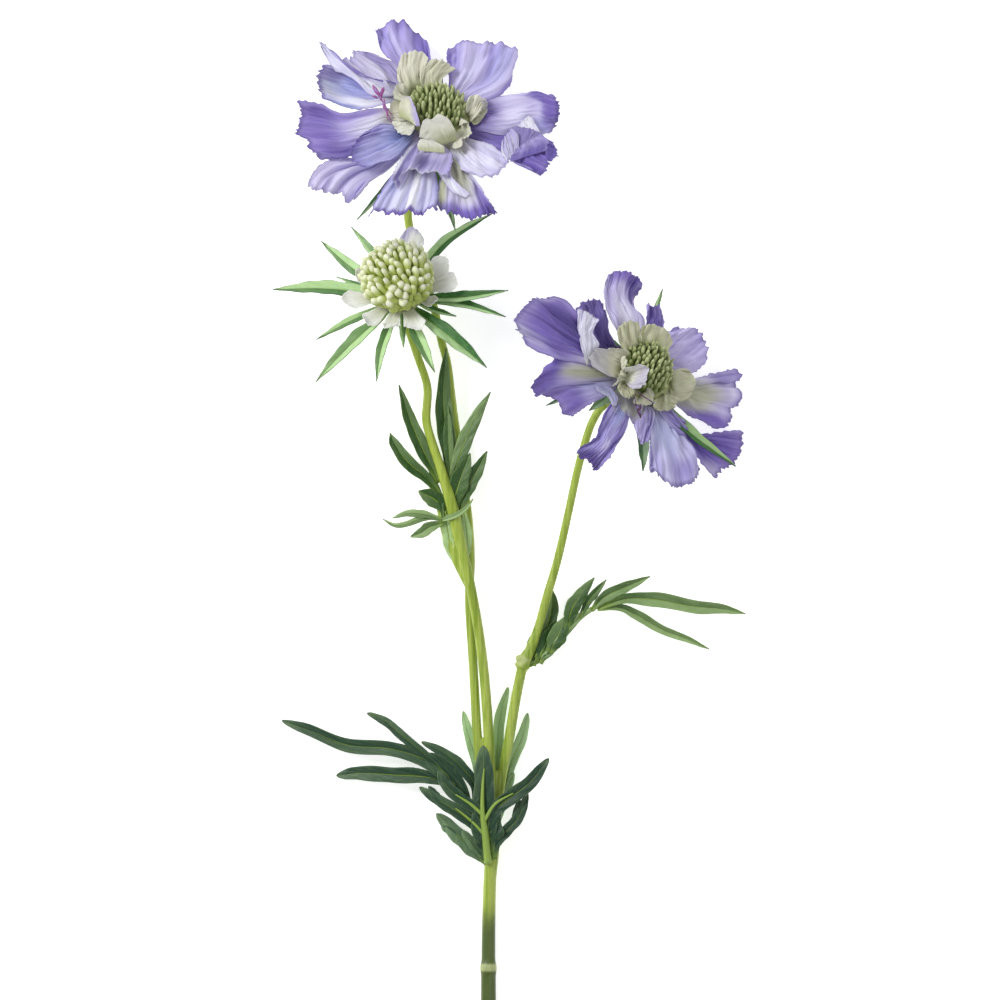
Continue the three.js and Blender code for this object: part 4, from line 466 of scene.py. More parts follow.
INNER_PETALS = {
    "bloom_1": [
        ((118, 4),
         [(-4.8, 8, 3.8), (-4.8, 11.9, 5.7)],
         [(-3.8, 17, 6.6), (-5.9, 18.6, 6.7), (-8.1, 18.5, 6.9), (-10.5, 17.3, 6.9),
          (-12.2, 14.9, 6.1), (-12.9, 11.8, 5.4)],
         [(-9.9, 4.7, 3.8), (-12.5, 7.8, 5)],
         [1.2, -1, 1.3, -0.4, 0.9, -0.8, 0.4], (0, 0.45, 0.12)),
        ((74, 4),
         [(1.6, 7.7, 3.8), (0.6, 10.1, 4.6), (2, 12.5, 4.9)],
         [(4.7, 15.3, 4.9), (2.1, 16.1, 5.8), (-0.4, 16.5, 6.6), (-3.1, 15.9, 6.6),
          (-4.6, 14.8, 6.1)],
         [(-4.5, 7.2, 3.8), (-6, 10.4, 5.4)],
         [0.5, -0.6, 1, 0.6, -0.4, -0.6, 0.4], (0, 0.8, 0.1)),
        ((150, 2.4),
         [(-9, 4.9, 3.8), (-10.2, 4.9, 5.4)],
         [(-10.9, 5.4, 6.5), (-12.7, 4.7, 6.1), (-13.6, 3.5, 4.6), (-13, 0.4, 4.6)],
         [(-8.6, 2.5, 3.4), (-10.9, 0.7, 4.6)],
         [0.5, -0.8, 0.2], (0, 0.8, 0.3)),
        ((-178, 3),
         [(-8.5, 1.2, 3.1), (-12, 1.2, 3.8)],
         [(-14.3, -0.4, 3.4), (-14.5, -3.7, 3.1), (-13.4, -6.7, 3.4)],
         [(-7.9, -4.7, 3.1), (-11, -7.1, 3.8)],
         [0.3, -0.3, 0.4, -0.3, 0], (0.1, 0.65, 0)),
        (None,
         [(-11.7, -5.9, 4.2), (-12.2, -3, 5.4)],
         [(-11.6, -0.7, 6.9), (-9.6, -0.5, 7.7), (-7.8, -5.5, 8.4), (-6.2, -11.8, 7.7)],
         [(-8.5, -8.1, 5), (-7.1, -10.6, 6.1)],
         [0.1, -0.2, 0.2], (0.8, 0.6, 0.1)),
        ((-152, 3),
         [(-9.1, -5.3, 3.1), (-11.6, -6.8, 3.4)],
         [(-13.6, -7.6, 3.1), (-11.8, -10.9, 3.4), (-9, -13.1, 4.6)],
         [(-7.4, -8.6, 3.8), (-7.8, -11.7, 5)],
         [0.4, -0.3, 0.5], (0, 0.4, 0.4)),
        (None,
         [(-0.3, -15.6, 3.4), (-2.7, -14.7, 5), (-4.6, -14.7, 5.7)],
         [(-6, -14.8, 6.1), (-5.8, -12.3, 7.7), (-4.8, -9.9, 8.7), (-3.1, -10, 9),
          (-0.8, -7.7, 9.8)],
         [(5.3, -12.3, 3.8), (4.5, -11.5, 7.3), (2.3, -9.3, 9.2)],
         [0.2, -0.1, 0.45, 0.1, 0.3], (0.1, 0.15, 0.3)),
        (None,
         [(-5.8, -18.3, 3.8), (-6.4, -16.7, 4.6)],
         [(-5.7, -14.8, 5.1), (-3.4, -14.3, 5.4), (-0.6, -14.9, 4.9)],
         [(2, -18, 3.8), (1.6, -16.3, 4.6)],
         [0, 0.3, 0.5, 0.3, 0], (0.1, 0.5, 0.5)),
        ((12, 3),
         [(9.8, -3, 2.3), (11.5, -2.4, 4.6)],
         [(12.8, 0.4, 5.7), (12.1, 2.8, 6.5), (10.2, 3.6, 6.9), (8.2, 1.6, 7.3)],
         [(8.3, -0.6, 3.8), (7.9, 0.1, 6.1)],
         [1, -1, 1, -0.6, 0.8], (0, 0.4, 0.2)),
        ((-42, 3),
         [(4.7, -11.4, 2.3), (5.2, -15.2, 3.1)],
         [(6.5, -15.2, 4.2), (7.3, -12.6, 5), (9.4, -9.9, 5), (8.3, -7.1, 6.1), (5.8, -8.6, 6.5)],
         [(6.5, -2.9, 3.8), (6.6, -5.8, 5.4)],
         [0.4, 1, -1, 0.9, -0.9, 0.6], (0, 0.5, 0.2)),
        ((8, 3),
         [(11.1, -3.5, 1.7), (13.4, -1.6, 2.7)],
         [(14.5, 0.9, 3.2), (14.7, 3.9, 3.5), (13.8, 5.9, 3.8)],
         [(10.9, 5.3, 2.7), (12.3, 6.4, 3.5)],
         [0.4, -0.3, 0.5, -0.2], (0.4, 0.6, 0)),
    ],
    "bloom_2": [
        ((128, 3.6),
         [(-2.7, 6.1, 3.9), (-4.2, 9.5, 5.5)],
         [(-4.8, 12.4, 5.9), (-7.9, 12.3, 6.3), (-10.6, 10.9, 5.9), (-12.5, 8.4, 5.5)],
         [(-7.8, 3.1, 3.9), (-11.2, 5.7, 4.7)],
         [0.8, -1.2, 1.2, -1.2, 1, -0.8, 0.4], (0, 1, 0)),
        ((80, 4),
         [(5.6, 5.9, 3.9), (7.2, 7.7, 4.3)],
         [(8.3, 9.9, 4.3), (6.7, 11.9, 5.1), (3.5, 13, 5.5), (-0.4, 13, 5.9), (-3.4, 11.9, 5.5)],
         [(-2, 5.9, 3.9), (-3.9, 9, 5.1)],
         [0.6, -0.9, 0.9, -0.8, 1, -1, 0.6], (0, 1.15, 0)),
        ((168, 4),
         [(-7.7, 2.7, 4.3), (-9.8, 2.9, 6.3)],
         [(-12.1, 2.7, 7.5), (-16.2, 1.8, 6.7), (-19.4, 1.2, 5.5), (-21.4, -1.2, 4.7),
          (-19.8, -3.8, 3.9)],
         [(-9.4, -4.7, 3.5), (-14, -5.5, 3.9)],
         [1, -0.7, 0.5, 0.4, -0.6, 0.4], (0.35, 0.6, 0.1)),
        ((-176, 2.4),
         [(-9.2, -0.8, 4.3), (-12, -1.3, 6.3)],
         [(-11.6, 0.1, 7.9), (-11, -2.8, 7.5), (-12, -5.8, 6.3), (-13.5, -8.8, 4.7)],
         [(-7.7, -5.2, 3.2), (-10.8, -6.4, 3.9)],
         [0.5, -0.3, 0.4], (0, 0.8, 0.2)),
        ((-164, 3.2),
         [(-10, -4, 5.9), (-11.6, -4.1, 8.3)],
         [(-10.4, -3.8, 10.2), (-7.7, -3.1, 11), (-5.5, -3.4, 11), (-5.6, -6.2, 10.6),
          (-7, -9.6, 9.5)],
         [(-8.6, -7.7, 5.5), (-8.2, -9.2, 7.5)],
         [0.3, 0.5, -0.3, 0.5, 0], (0.45, 0.2, 0.4)),
        ((-8, 4),
         [(9.5, -7.5, 2.4), (12.6, -7.8, 3.2)],
         [(15, -5.9, 3.9), (16.2, -2.6, 4.3), (15.6, 0.4, 4.7), (13.2, 1.7, 5.1)],
         [(8.1, 0.4, 3.9), (10.2, 1.4, 5.1)],
         [0.9, -0.9, 1.2, -0.8, 0.8], (0, 0.8, 0.05)),
        ((-55, 3.2),
         [(2.2, -9.3, 2.4), (2.4, -12.4, 3.2)],
         [(4.3, -12.5, 3.5), (7.5, -11.8, 3.5), (9.2, -9.8, 4.3), (10.1, -7.5, 4.7)],
         [(7.2, -6.4, 3.5), (8.1, -7.5, 4.3)],
         [0.8, -1, 1, -0.8], (0, 1, 0)),
        ((-100, 3.2),
         [(-4.9, -10.4, 3.2), (-5.1, -12.3, 3.9)],
         [(-3.2, -12.6, 4.3), (-1.2, -12.1, 5.1), (0.1, -10.2, 5.9), (-0.8, -8.4, 6.7)],
         [(-1.2, -6.9, 4.7)],
         [0.8, -1, 1, -0.8], (0, 0.7, 0.1)),
        ((-140, 2.6),
         [(-10.3, -7, 3.2), (-10.8, -9.6, 3.9)],
         [(-9.7, -11.1, 4.3), (-7.7, -11.2, 5.1), (-6.7, -9.4, 5.9)],
         [(-6.7, -6.7, 4.3)],
         [0.4, -0.4, 0.4], (0, 1, 0)),
    ],
}
# Petals round the bud's rim, rows azimuth, reach, width, height of the tip, arch, cup and
# height of the ruffle.
RIM_PETALS = [
    (128, 14, 4.5, 2.5, -0.8, 0.12, 0.3), (98, 15, 5, 4.5, -0.8, 0.12, 0.4),
    (77, 19.5, 7.6, 5, -1, 0.14, 0.7), (30, 16.8, 8, 3, -1, 0.14, 0.5),
    (8, 17.6, 7, 2.5, -1, 0.14, 0.6), (-24, 12, 4.5, 1.5, -1.5, 0.14, 0.3),
    (-70, 16, 6.8, 2.5, -1.5, 0.14, 0.8), (-101, 14.8, 5.4, 2.5, -1.5, 0.2, 0.6),
    (-130, 16, 5.8, 2.5, -1.5, 0.14, 0.5), (-166, 17.5, 6.5, 2.5, -1.5, 0.14, 0.4),
    (156, 14.5, 5, 2.5, -1.5, 0.14, 0.3),
]
RIM_PLAIN_REACH = 18.8  # rim petals that reach further have lilac tips

# Bract rows: azimuth, reach, width, height of the tip above the disc, sideways bow, and
# for one that comes up between two petals its arch and depth of colour.
BRACTS = {
    "bloom_1": [
        (-120, 45, 2.6, -6.5, 1), (-80, 39.5, 3.8, -6.5, -1), (-20, 24, 3, -6.5, 0),
        (30, 22, 3, -6, 0), (85, 24, 3, -6, 0), (130, 25, 3, -6.5, 0),
        (-165, 26, 3, -6.5, 0),
    ],
    "bloom_2": [
        (71, 31.5, 3, -3.4, 0), (-153, 36.4, 3, -2.8, -1), (-82, 29.5, 5.4, -5.5, 0.6),
        (-36, 41, 3.9, 1.6, -4.6, 3.6, 1.35), (25, 22, 3, -6.5, 0), (125, 14, 3, -6, 0),
        (-138, 21, 4, -5, 0),
    ],
    "bud": [
        (176.5, 38.5, 5, -2, -2), (158, 21, 1.8, -4.5, 0), (140, 31.5, 4, -4, 1),
        (120, 30.5, 2.8, -6, -1), (43.5, 38.5, 3.6, 0, 4), (-2, 32.5, 3.8, 0, -0.8),
        (-14, 32.5, 3, -4, 2), (-22, 18, 2.2, -5, 0), (-48, 39, 5.2, 2, 0.5),
        (-70, 31, 3.8, 0, 0), (-87, 17.5, 2, -4.5, 0), (-102, 32.5, 3.2, 0, -1.5),
        (-127, 41, 4.4, 2, -1), (-146, 30, 2.8, 0, -1),
    ],
}
BLADE_COLUMNS = 16
BLADE_LINE = 0.9  # from one line of a blade's grid to the next
BRACT_FOLD = 26
BRACT_DEPTH = 0.8
BRACT_RADIUS = 4
CUP_RADIUS = 5.5
# Under each head: height of the bracts' feet, their arch and height of the cup's shoulder.
CUPS = {"bloom_1": (-4.1, 0.2, -4.4), "bloom_2": (-4.1, 0.2, -4.4), "bud": (-4.6, -0.8, -4.6)}

# Leaves: each lobe is its width, its fold in degrees, how dark it is, from about 0 to 1,
# then the points of its midrib.
LEAVES = {
    "basal_leaf_left": [
        (4.5, 14, 1, (-4.2, -103.8, 3.2), (-9, -94, 5), (-14.4, -85.2, 6.2),
         (-22.5, -78.6, 6.4), (-33, -75.2, 5.4), (-46.5, -74, 3.4), (-58.5, -69.4, 1.5),
         (-66, -66.8, 0.35)),
        (5.6, 10, 1, (-7.2, -97.8, 4.4), (-16.2, -81.8, 6.4), (-25.5, -76.8, 6.2)),
        (4.8, 12, 1, (-13.4, -86.4, 6.1), (-21, -83.8, 6.2), (-31.5, -83.1, 5),
         (-42, -82.6, 3), (-49.5, -83.4, 1.4)),
        (2.9, 10, 1, (-15, -83.4, 6.4), (-21.6, -77.8, 6.8), (-29.4, -71.3, 6.4),
         (-34.8, -66.8, 5.2), (-40.2, -64.4, 3.8)),
        (3.4, 14, 1, (-7.8, -96.6, 4.6), (-7.8, -86, 6.4), (-12, -80.2, 7.4),
         (-16.2, -76.7, 7.6), (-23.7, -73, 7)),
    ],
    "basal_leaf_front": [
        (6.4, 16, 1, (-2.7, -108, 5.4), (-3.6, -100.5, 7), (-4.8, -91.5, 8),
         (-4.8, -82.5, 8.8), (-5.1, -74.1, 9)),
        (9.4, 12, 1, (-2.7, -108.6, 5.4), (-3.9, -99, 7.2), (-4.5, -88.5, 8.2)),
        (4.6, 18, 1, (-3.6, -102.6, 6.6), (-1.2, -93.6, 8.2), (3.6, -89.4, 8.8),
         (9.3, -84.9, 8.4), (14.7, -78, 7)),
        (3.8, 16, 1, (-4.2, -99, 7.1), (-6.6, -93.9, 8.4), (-12, -90, 9),
         (-16.2, -86.1, 8.8), (-18.6, -81.6, 8)),
        (3.8, 16, 1, (-3.6, -103.8, 6.4), (-8.4, -97.8, 7.6), (-13.5, -93.6, 8),
         (-18.6, -90.6, 7.4), (-24.3, -86.7, 6)),
        (2, 8, 1, (-17, -91.4, 7.6), (-21.6, -86.4, 7)),
        (3.4, 12, 1, (-2.4, -106.8, 5.8), (1.2, -100.8, 7), (5.4, -96, 7.6), (8.4, -88.5, 7.2)),
        (2, 8, 1, (3.6, -98.4, 7.3), (6, -90.3, 7.8)),
    ],
    "basal_leaf_low": [
        (5, 16, 0.8, (-4, -109.6, 4), (-7.8, -105.9, 4.4), (-12.6, -101.4, 4),
         (-19.2, -94.8, 2.6)),
        (2.2, 8, 0.8, (-13, -101.4, 4), (-17.7, -98.7, 3.4)),
        (3, 10, 0.8, (-5, -108.4, 4.1), (-8.4, -103.8, 4.8), (-11.4, -99.9, 5)),
    ],
    "basal_leaf_back": [
        (3.2, 10, 0.05, (-2.7, -104, 0.8), (-4.8, -90, 1), (-7.8, -76.5, 1.3),
         (-9.6, -70.5, 1.4), (-11.1, -63.9, 1.2)),
        (3.6, 10, 0.05, (-2.4, -104, 0.8), (-0.9, -87, 1.1), (-0.9, -75, 1.4), (0, -66, 1.5),
         (2.4, -56.7, 1.2)),
        (3.6, 10, 0.05, (-1.8, -104, 0.8), (0.9, -88.5, 1), (3.6, -78.6, 1.2), (6.6, -72, 1.4),
         (8.4, -64.5, 1.1)),
        (2.6, 8, 0.05, (-1.4, -101, 0.8), (1.5, -89.4, 1.1), (4.2, -82.5, 1.5)),
    ],
    "upper_leaf_left": [
        (2.2, 8, 0.9, (-17, -6.6, 8.2), (-18, 0, 7.6), (-20.2, 6, 7.2), (-21.4, 11.4, 7.3)),
        (4.4, 16, 1, (-18.4, 5.2, 7.2), (-23.2, 15, 7.9), (-27, 24, 8), (-30.5, 34.8, 7.2)),
        (4.1, 16, 1, (-16.6, -0.4, 7.2), (-23, 7.4, 7.8), (-27.9, 11.5, 7.8),
         (-31.8, 17, 7.1), (-33.2, 20.2, 6.6)),
        (5, 10, 1.05, (-14.8, -3.8, 7.3), (-20.4, 0.6, 7.9), (-24.6, 2.7, 7.8)),
        (1.9, 8, 0.65, (-16.8, -6.3, 8.2), (-21, -5.4, 8.8), (-24.9, -6, 9), (-29.1, -7.5, 8.6),
         (-32.1, -7.5, 8), (-35.4, -5.7, 7.2)),
        (2.4, 8, 0.65, (-16.8, -6, 8.2), (-22.5, -4.4, 9.4), (-27.6, -4, 9.6), (-32.4, -5.4, 8.8)),
        (3.6, 10, 0.75, (-16.8, -6.8, 8.2), (-21, -8.1, 8.6), (-23.7, -9.9, 8.2), (-27, -11.1, 7.4)),
        (1.6, 8, 0.5, (-17.4, -6.2, 8.4), (-16.6, -5.8, 10.2), (-13.2, -4.5, 11),
         (-10.2, -2.4, 10.2), (-8.1, 0.3, 9)),
    ],
    "upper_leaf_right": [
        (2.2, 8, 0.85, (-11.9, -7.2, 7.6), (-12.6, 0.6, 7.4), (-14.4, 6.6, 7.4), (-15.8, 12.6, 7.6)),
        (5.4, 14, 0.85, (-15, 6, 7.5), (-15.9, 18, 7.4), (-17.1, 30, 7.4), (-16.2, 45.9, 7.6)),
        (3, 8, 0.85, (-15, 6.6, 7.8), (-15.6, 18, 8.8), (-15.9, 28.5, 8.6)),
        (4.6, 14, 0.75, (-15.4, 2.8, 7.8), (-12.1, 13.7, 8.8), (-8.5, 22.5, 9), (-2.9, 32.6, 8)),
        (5.8, 12, 1, (-14.4, -2.4, 7.8), (-12.4, 5, 9), (-9, 14.1, 9)),
        (4.6, 14, 0.95, (-12.8, -4.6, 7.6), (-10.2, 3, 8.4), (-7.2, 8.4, 8.4), (-3.9, 14.7, 7.6)),
    ],
    "right_leaf": [
        (2.8, 6, 0.5, (7.4, -50.8, 4.8), (12.9, -47.7, 5.5), (16.5, -44.1, 6.1),
         (19.5, -39.9, 6.5), (23.1, -36, 6.7), (27, -33.3, 6.7), (30.9, -31.8, 6.6)),
        (4.4, 18, 0.6, (30, -32.4, 6.6), (38.1, -29.8, 7), (46.5, -30, 6.2), (57.9, -32.1, 4.2),
         (67.5, -33, 2.2), (74.3, -34.4, 0.9)),
        (3, 14, 0.6, (29.4, -33, 6.4), (36, -32.4, 6.2), (41.1, -34.6, 5.2), (48.3, -38.8, 3.6),
         (57, -42.3, 2), (63.3, -45.1, 0.9)),
        (3.6, 16, 0.65, (27.6, -33.3, 6.7), (31.8, -29.1, 7.4), (38.4, -26.1, 6.8),
         (45.3, -23.1, 5.2)),
        (4.6, 12, 0.95, (20.4, -39.6, 6.5), (21.4, -33.6, 7.2), (24, -29.1, 7.4), (28.5, -23.4, 6.8)),
        (2.6, 8, 0.9, (24, -35.8, 6.7), (26.4, -30.9, 7), (29.1, -27.6, 7), (32.1, -24, 6.4)),
        (5, 12, 0.85, (11.4, -47.6, 5.7), (14, -39, 4.4), (15.6, -32.4, 3.7), (15.6, -26.7, 3.4)),
        (6.2, 10, 0.95, (9.6, -50, 5.3), (11, -44.5, 4.4), (11.6, -37.5, 4)),
        (6.4, 10, 0.95, (11.6, -49.2, 5.7), (14.4, -43, 5.2), (17, -36.5, 4.6)),
        (5.6, 10, 0.9, (14.8, -46, 6.3), (17.4, -41, 6.5), (20, -35, 6.6)),
    ],
}
# Pale sheaths where the pairs of leaves clasp the stem, written as the lobes are.
SHEATHS = {
    "upper_leaf_left": [
        (4.2, 4, 0.2, (-17.2, -3.5, 7.6), (-15.9, -8, 7.5), (-15.1, -12.5, 7.4),
         (-14, -16.5, 7.3), (-12.2, -21, 7.3)),
    ],
    "upper_leaf_right": [
        (3.2, 4, 0.1, (-11, -3, 7.4), (-10.3, -8, 7.2), (-9.9, -12.5, 6.9), (-9.4, -17, 6.5)),
    ],
}
# Raised ribs of the leaf in front, each row x, y, z and radius.
RIBS = {
    "basal_leaf_front": [
        [(-3.6, -109.6, 5.6, 1.2), (-4.6, -100, 7.6, 1.1), (-5.3, -94, 8.8, 0.7),
         (-5.2, -86, 9.2, 0.45), (-4.8, -81, 9.2, 0.2)],
        [(-5.2, -95, 8.6, 0.6), (-9, -91.6, 9.2, 0.45), (-13.4, -88.8, 9.6, 0.2)],
        [(-4.9, -97, 8.4, 0.6), (-1.4, -91.6, 9.2, 0.45), (4, -88.4, 9.4, 0.2)],
        [(-4.4, -101.4, 7.6, 0.5), (-8.4, -97, 8.4, 0.4), (-13.4, -93, 8.6, 0.2)],
    ],
}

# Parts of the stamens in their head's frame, each row x, y, height and radius.
FILAMENTS = {
    "bloom_1": [
        [(-14, -7.6, 3.4, 0.1), (-15, -6.4, 4.2, 0.18), (-16.4, -3.3, 5.4, 0.22),
         (-18.7, 0.5, 6.1, 0.24)],
        [(-13.4, -5.9, 3.4, 0.1), (-15.4, -4, 4.6, 0.16), (-17.8, -1.1, 6.3, 0.2)],
        [(-15.2, -7, 3.4, 0.1), (-16.1, -3.7, 5, 0.16), (-16.8, -1.1, 6, 0.18)],
    ],
    "bloom_2": [
        [(-7.5, -9.4, 7.5, 0.12), (-5.7, -10.6, 7.5, 0.16), (-3.2, -11.3, 7.1, 0.18),
         (0.5, -11.7, 5.9, 0.2)],
        [(-6.8, -10.1, 7.1, 0.1), (-6.7, -12, 6.3, 0.14), (-5.2, -13.6, 5.1, 0.16)],
    ],
}
ANTHERS = {
    "bloom_1": [
        [(-17.8, -0.7, 6.3, 0.15), (-18.8, 0.4, 6.7, 0.6), (-19.7, 1.7, 6.9, 0.65),
         (-20.4, 3.2, 6.9, 0.2)],
        [(-18, -1.6, 6, 0.15), (-17.8, 0.1, 6.3, 0.5), (-17.3, 2, 6.6, 0.55),
         (-17, 3.2, 6.6, 0.15)],
        [(-18.7, -1.3, 6, 0.15), (-19.6, -0.9, 6.3, 0.45), (-20.5, -0.8, 6.4, 0.15)],
        [(-16, -4.7, 4.7, 0.12), (-16.7, -3.6, 5.2, 0.42), (-17.1, -2.3, 5.5, 0.12)],
    ],
    "bloom_2": [
        [(-5.9, -13.1, 5.1, 0.15), (-4.5, -14, 4.7, 0.6), (-3.3, -15.4, 3.9, 0.55),
         (-2.7, -16.4, 3.5, 0.15)],
        [(-3.7, -12.7, 5.1, 0.15), (-3.8, -13.8, 4.7, 0.5), (-4.3, -15.1, 4.3, 0.15)],
    ],
}

# Domes that the florets stand on, rows radius and height from rim to crown.
BUTTON_DOME = [
    (6.9, 2.4), (7.3, 3.2), (7.1, 4.1), (6.4, 5.0), (5.2, 5.8), (3.9, 6.4), (2.4, 6.7), (0, 6.9),
]
BUD_DOME = [
    (8.3, 0.2), (9.2, 1.8), (9.6, 3.7), (9.4, 5.7), (8.6, 7.7), (7.1, 9.6), (5.2, 11),
    (3, 11.9), (0, 12.2),
]
GOLDEN_ANGLE = 137.50776
FLORET_SIDES = 10
FLORET_HEIGHTS = np.array([0, 0.05, 0.35, 0.6, 0.78, 0.89, 0.96, 1.0])
FLORET_WIDTHS = np.array([0, 0.6, 0.92, 1.0, 0.88, 0.64, 0.38, 0.08])

# Blades' tones, which are pale, dark, mottle, vein and edge, then how much lighter one
# half of a blade is painted, as painted light and shade, and how strongly its edge shows.
BLADES = {
    "fresh_blade": (((176, 206, 140), (30, 74, 4), (84, 124, 48), (152, 180, 72),
                     (126, 158, 88)), 0.22, 0.35),
    "basal_blade": (((160, 194, 140), (16, 58, 34), (60, 104, 68), (140, 168, 62),
                     (118, 150, 106)), 0.14, 0.3),
    "bract_blade": (((184, 218, 156), (38, 98, 28), (104, 158, 76), (160, 196, 110),
                     (50, 78, 44)), 0.7, 0.6),
}

# The stage, in metres: lamps by name, place, diameter and power.
LAMPS = (("key", (-1.3, 0.9, 1.3), 0.9, 27), ("fill", (1.0, -0.4, 1.6), 1.4, 5))
SKY_STRENGTH = 0.5
TABLE_HALF = 4.0
CAMERA_HEIGHT = 2.12
CAMERA_LENS = 252


# ---- curves and surfaces ----


def smooth(t):
    """An even rise from 0 to 1, level at both ends."""
    t = np.clip(t, 0, 1)
    return t * t * (3 - 2 * t)


def unit(vectors):
    length = np.linalg.norm(vectors, axis=-1, keepdims=True)
    return vectors / np.maximum(length, 1e-12)


def dot(a, b):
    return np.sum(a * b, axis=-1, keepdims=True)


def polar(radius, degrees, height):
    """A point or direction by its distance from the axis, azimuth and height."""
    angle = math.radians(degrees)
    return np.array([radius * math.cos(angle), radius * math.sin(angle), height])


def steps(points):
    """Distances from each point of a line to the next."""
    return np.linalg.norm(np.diff(points, axis=0), axis=1)


class Midrib:
    """A centripetal curve through points, as the solids' blades and stems follow it."""

    def __init__(self, points):
        points = np.asarray(points, float)
        first = 2 * points[0] - points[1]
        last = 2 * points[-1] - points[-2]
        chain = np.vstack([first, points, last])
        gaps = np.sqrt(steps(chain))
        self.spans = len(points) - 1
        self.cubics = np.array([self._cubic(chain[k:k + 4], gaps[k:k + 3])
                                for k in range(self.spans)])

    @staticmethod
    def _cubic(p, gap):
        start = (p[1] - p[0]) / gap[0] - (p[2] - p[0]) / (gap[0] + gap[1])
        start = (start + (p[2] - p[1]) / gap[1]) * gap[1]
        end = (p[2] - p[1]) / gap[1] - (p[3] - p[1]) / (gap[1] + gap[2])
        end = (end + (p[3] - p[2]) / gap[2]) * gap[1]
        return np.array([p[1], start, 3 * (p[2] - p[1]) - 2 * start - end,
                         2 * (p[1] - p[2]) + start + end])

    def at(self, t):
        t = np.clip(np.asarray(t, float), 0, 1) * self.spans
        span = np.minimum(t.astype(int), self.spans - 1)
        w = (t - span)[..., None]
        c = self.cubics[span]
        return c[..., 0, :] + w * (c[..., 1, :] + w * (c[..., 2, :] + w * c[..., 3, :]))

    def along(self, t):
        t = np.asarray(t, float)
        step = 1e-3
        return unit(self.at(np.minimum(t + step, 1)) - self.at(np.maximum(t - step, 0)))

    def length(self):
        return steps(self.at(np.linspace(0, 1, 80))).sum()


class Waves:
    """A sum of a few sine waves, seeded, that wanders between about -1 and 1."""

    def __init__(self, rng, frequencies):
        self.parts = [(f * rng.uniform(0.85, 1.15), rng.uniform(0, 2 * math.pi))
                      for f in frequencies]

    def __call__(self, t):
        total = sum(np.sin(math.pi * f * t + phase) for f, phase in self.parts)
        return total / math.sqrt(len(self.parts))


class Teeth:
    """An uneven row of small pointed teeth, so many to a millimetre of an edge.

    Each is between 0 and 1 high, at places that run from -1 to 1.
    """

    def __init__(self, rng, edge, per_mm, fewest):
        count = max(int(edge * per_mm), fewest)
        spacing = 2 / count
        self.tips = -1 + spacing * (np.arange(count) + 0.5 + rng.uniform(-0.3, 0.3, count))
        self.heights = rng.uniform(0.25, 1, count)
        self.widths = spacing * rng.uniform(0.5, 0.75, count)

    def __call__(self, t):
        away = np.abs(t[..., None] - self.tips) / self.widths
        return np.max(np.clip(1 - away, 0, 1) * self.heights, axis=-1)


def along_chain(points, share):
    """Points of a smooth curve through others, at shares of its length."""
    line = Midrib(points)
    t = np.linspace(0, 1, 240)
    run = np.concatenate([[0], np.cumsum(steps(line.at(t)))])
    return line.at(np.interp(share, run / run[-1], t))


def pleated(heights, u):
    """A smooth row of pleats through heights set evenly from -1 to 1."""
    place = (u + 1) / 2 * (len(heights) - 1)
    first = np.minimum(place.astype(int), len(heights) - 2)
    heights = np.array(heights, float)
    return heights[first] + (heights[first + 1] - heights[first]) * smooth(place - first)


def patch(foot, right, tip, left, u, v):
    """The surface spanned by a foot, two sides and a free end."""
    s, t = ((u + 1) / 2)[..., None], v[..., None]
    across, along = (u[0] + 1) / 2, v[:, 0]
    right, left = along_chain(right, along)[:, None], along_chain(left, along)[:, None]
    tip, foot = along_chain(tip, across)[None], along_chain(foot, across)[None]
    sides = (1 - s) * right + s * left
    ends = (1 - t) * foot + t * tip
    corners = ((1 - s) * (1 - t) * foot[:, :1] + s * (1 - t) * foot[:, -1:]
               + (1 - s) * t * tip[:, :1] + s * t * tip[:, -1:])
    return sides + ends - corners


def facing(points):
    """The upward normals of a grid of points."""
    return unit(np.cross(np.gradient(points, axis=0), np.gradient(points, axis=1)))


def toothed(points, length, breadth, rng, u, v, tooth):
    """Points of a petal drawn out into coarse and fine teeth at its end and side teeth."""
    outward = unit(np.gradient(points, axis=0))
    sideways = unit(np.gradient(points, axis=1))
    end_teeth = (Teeth(rng, breadth, 0.8, 4)(u) * v ** 10
                 + 0.45 * Teeth(rng, breadth, 1.9, 8)(u) * v ** 16)
    side_teeth = Teeth(rng, length, 0.7, 4)(2 * v - 1) * np.abs(u) ** 12
    points = points + outward * (tooth * end_teeth)[..., None]
    return points + sideways * (tooth * 0.7 * side_teeth * np.sign(u)
                                * smooth((v - 0.35) / 0.4))[..., None]


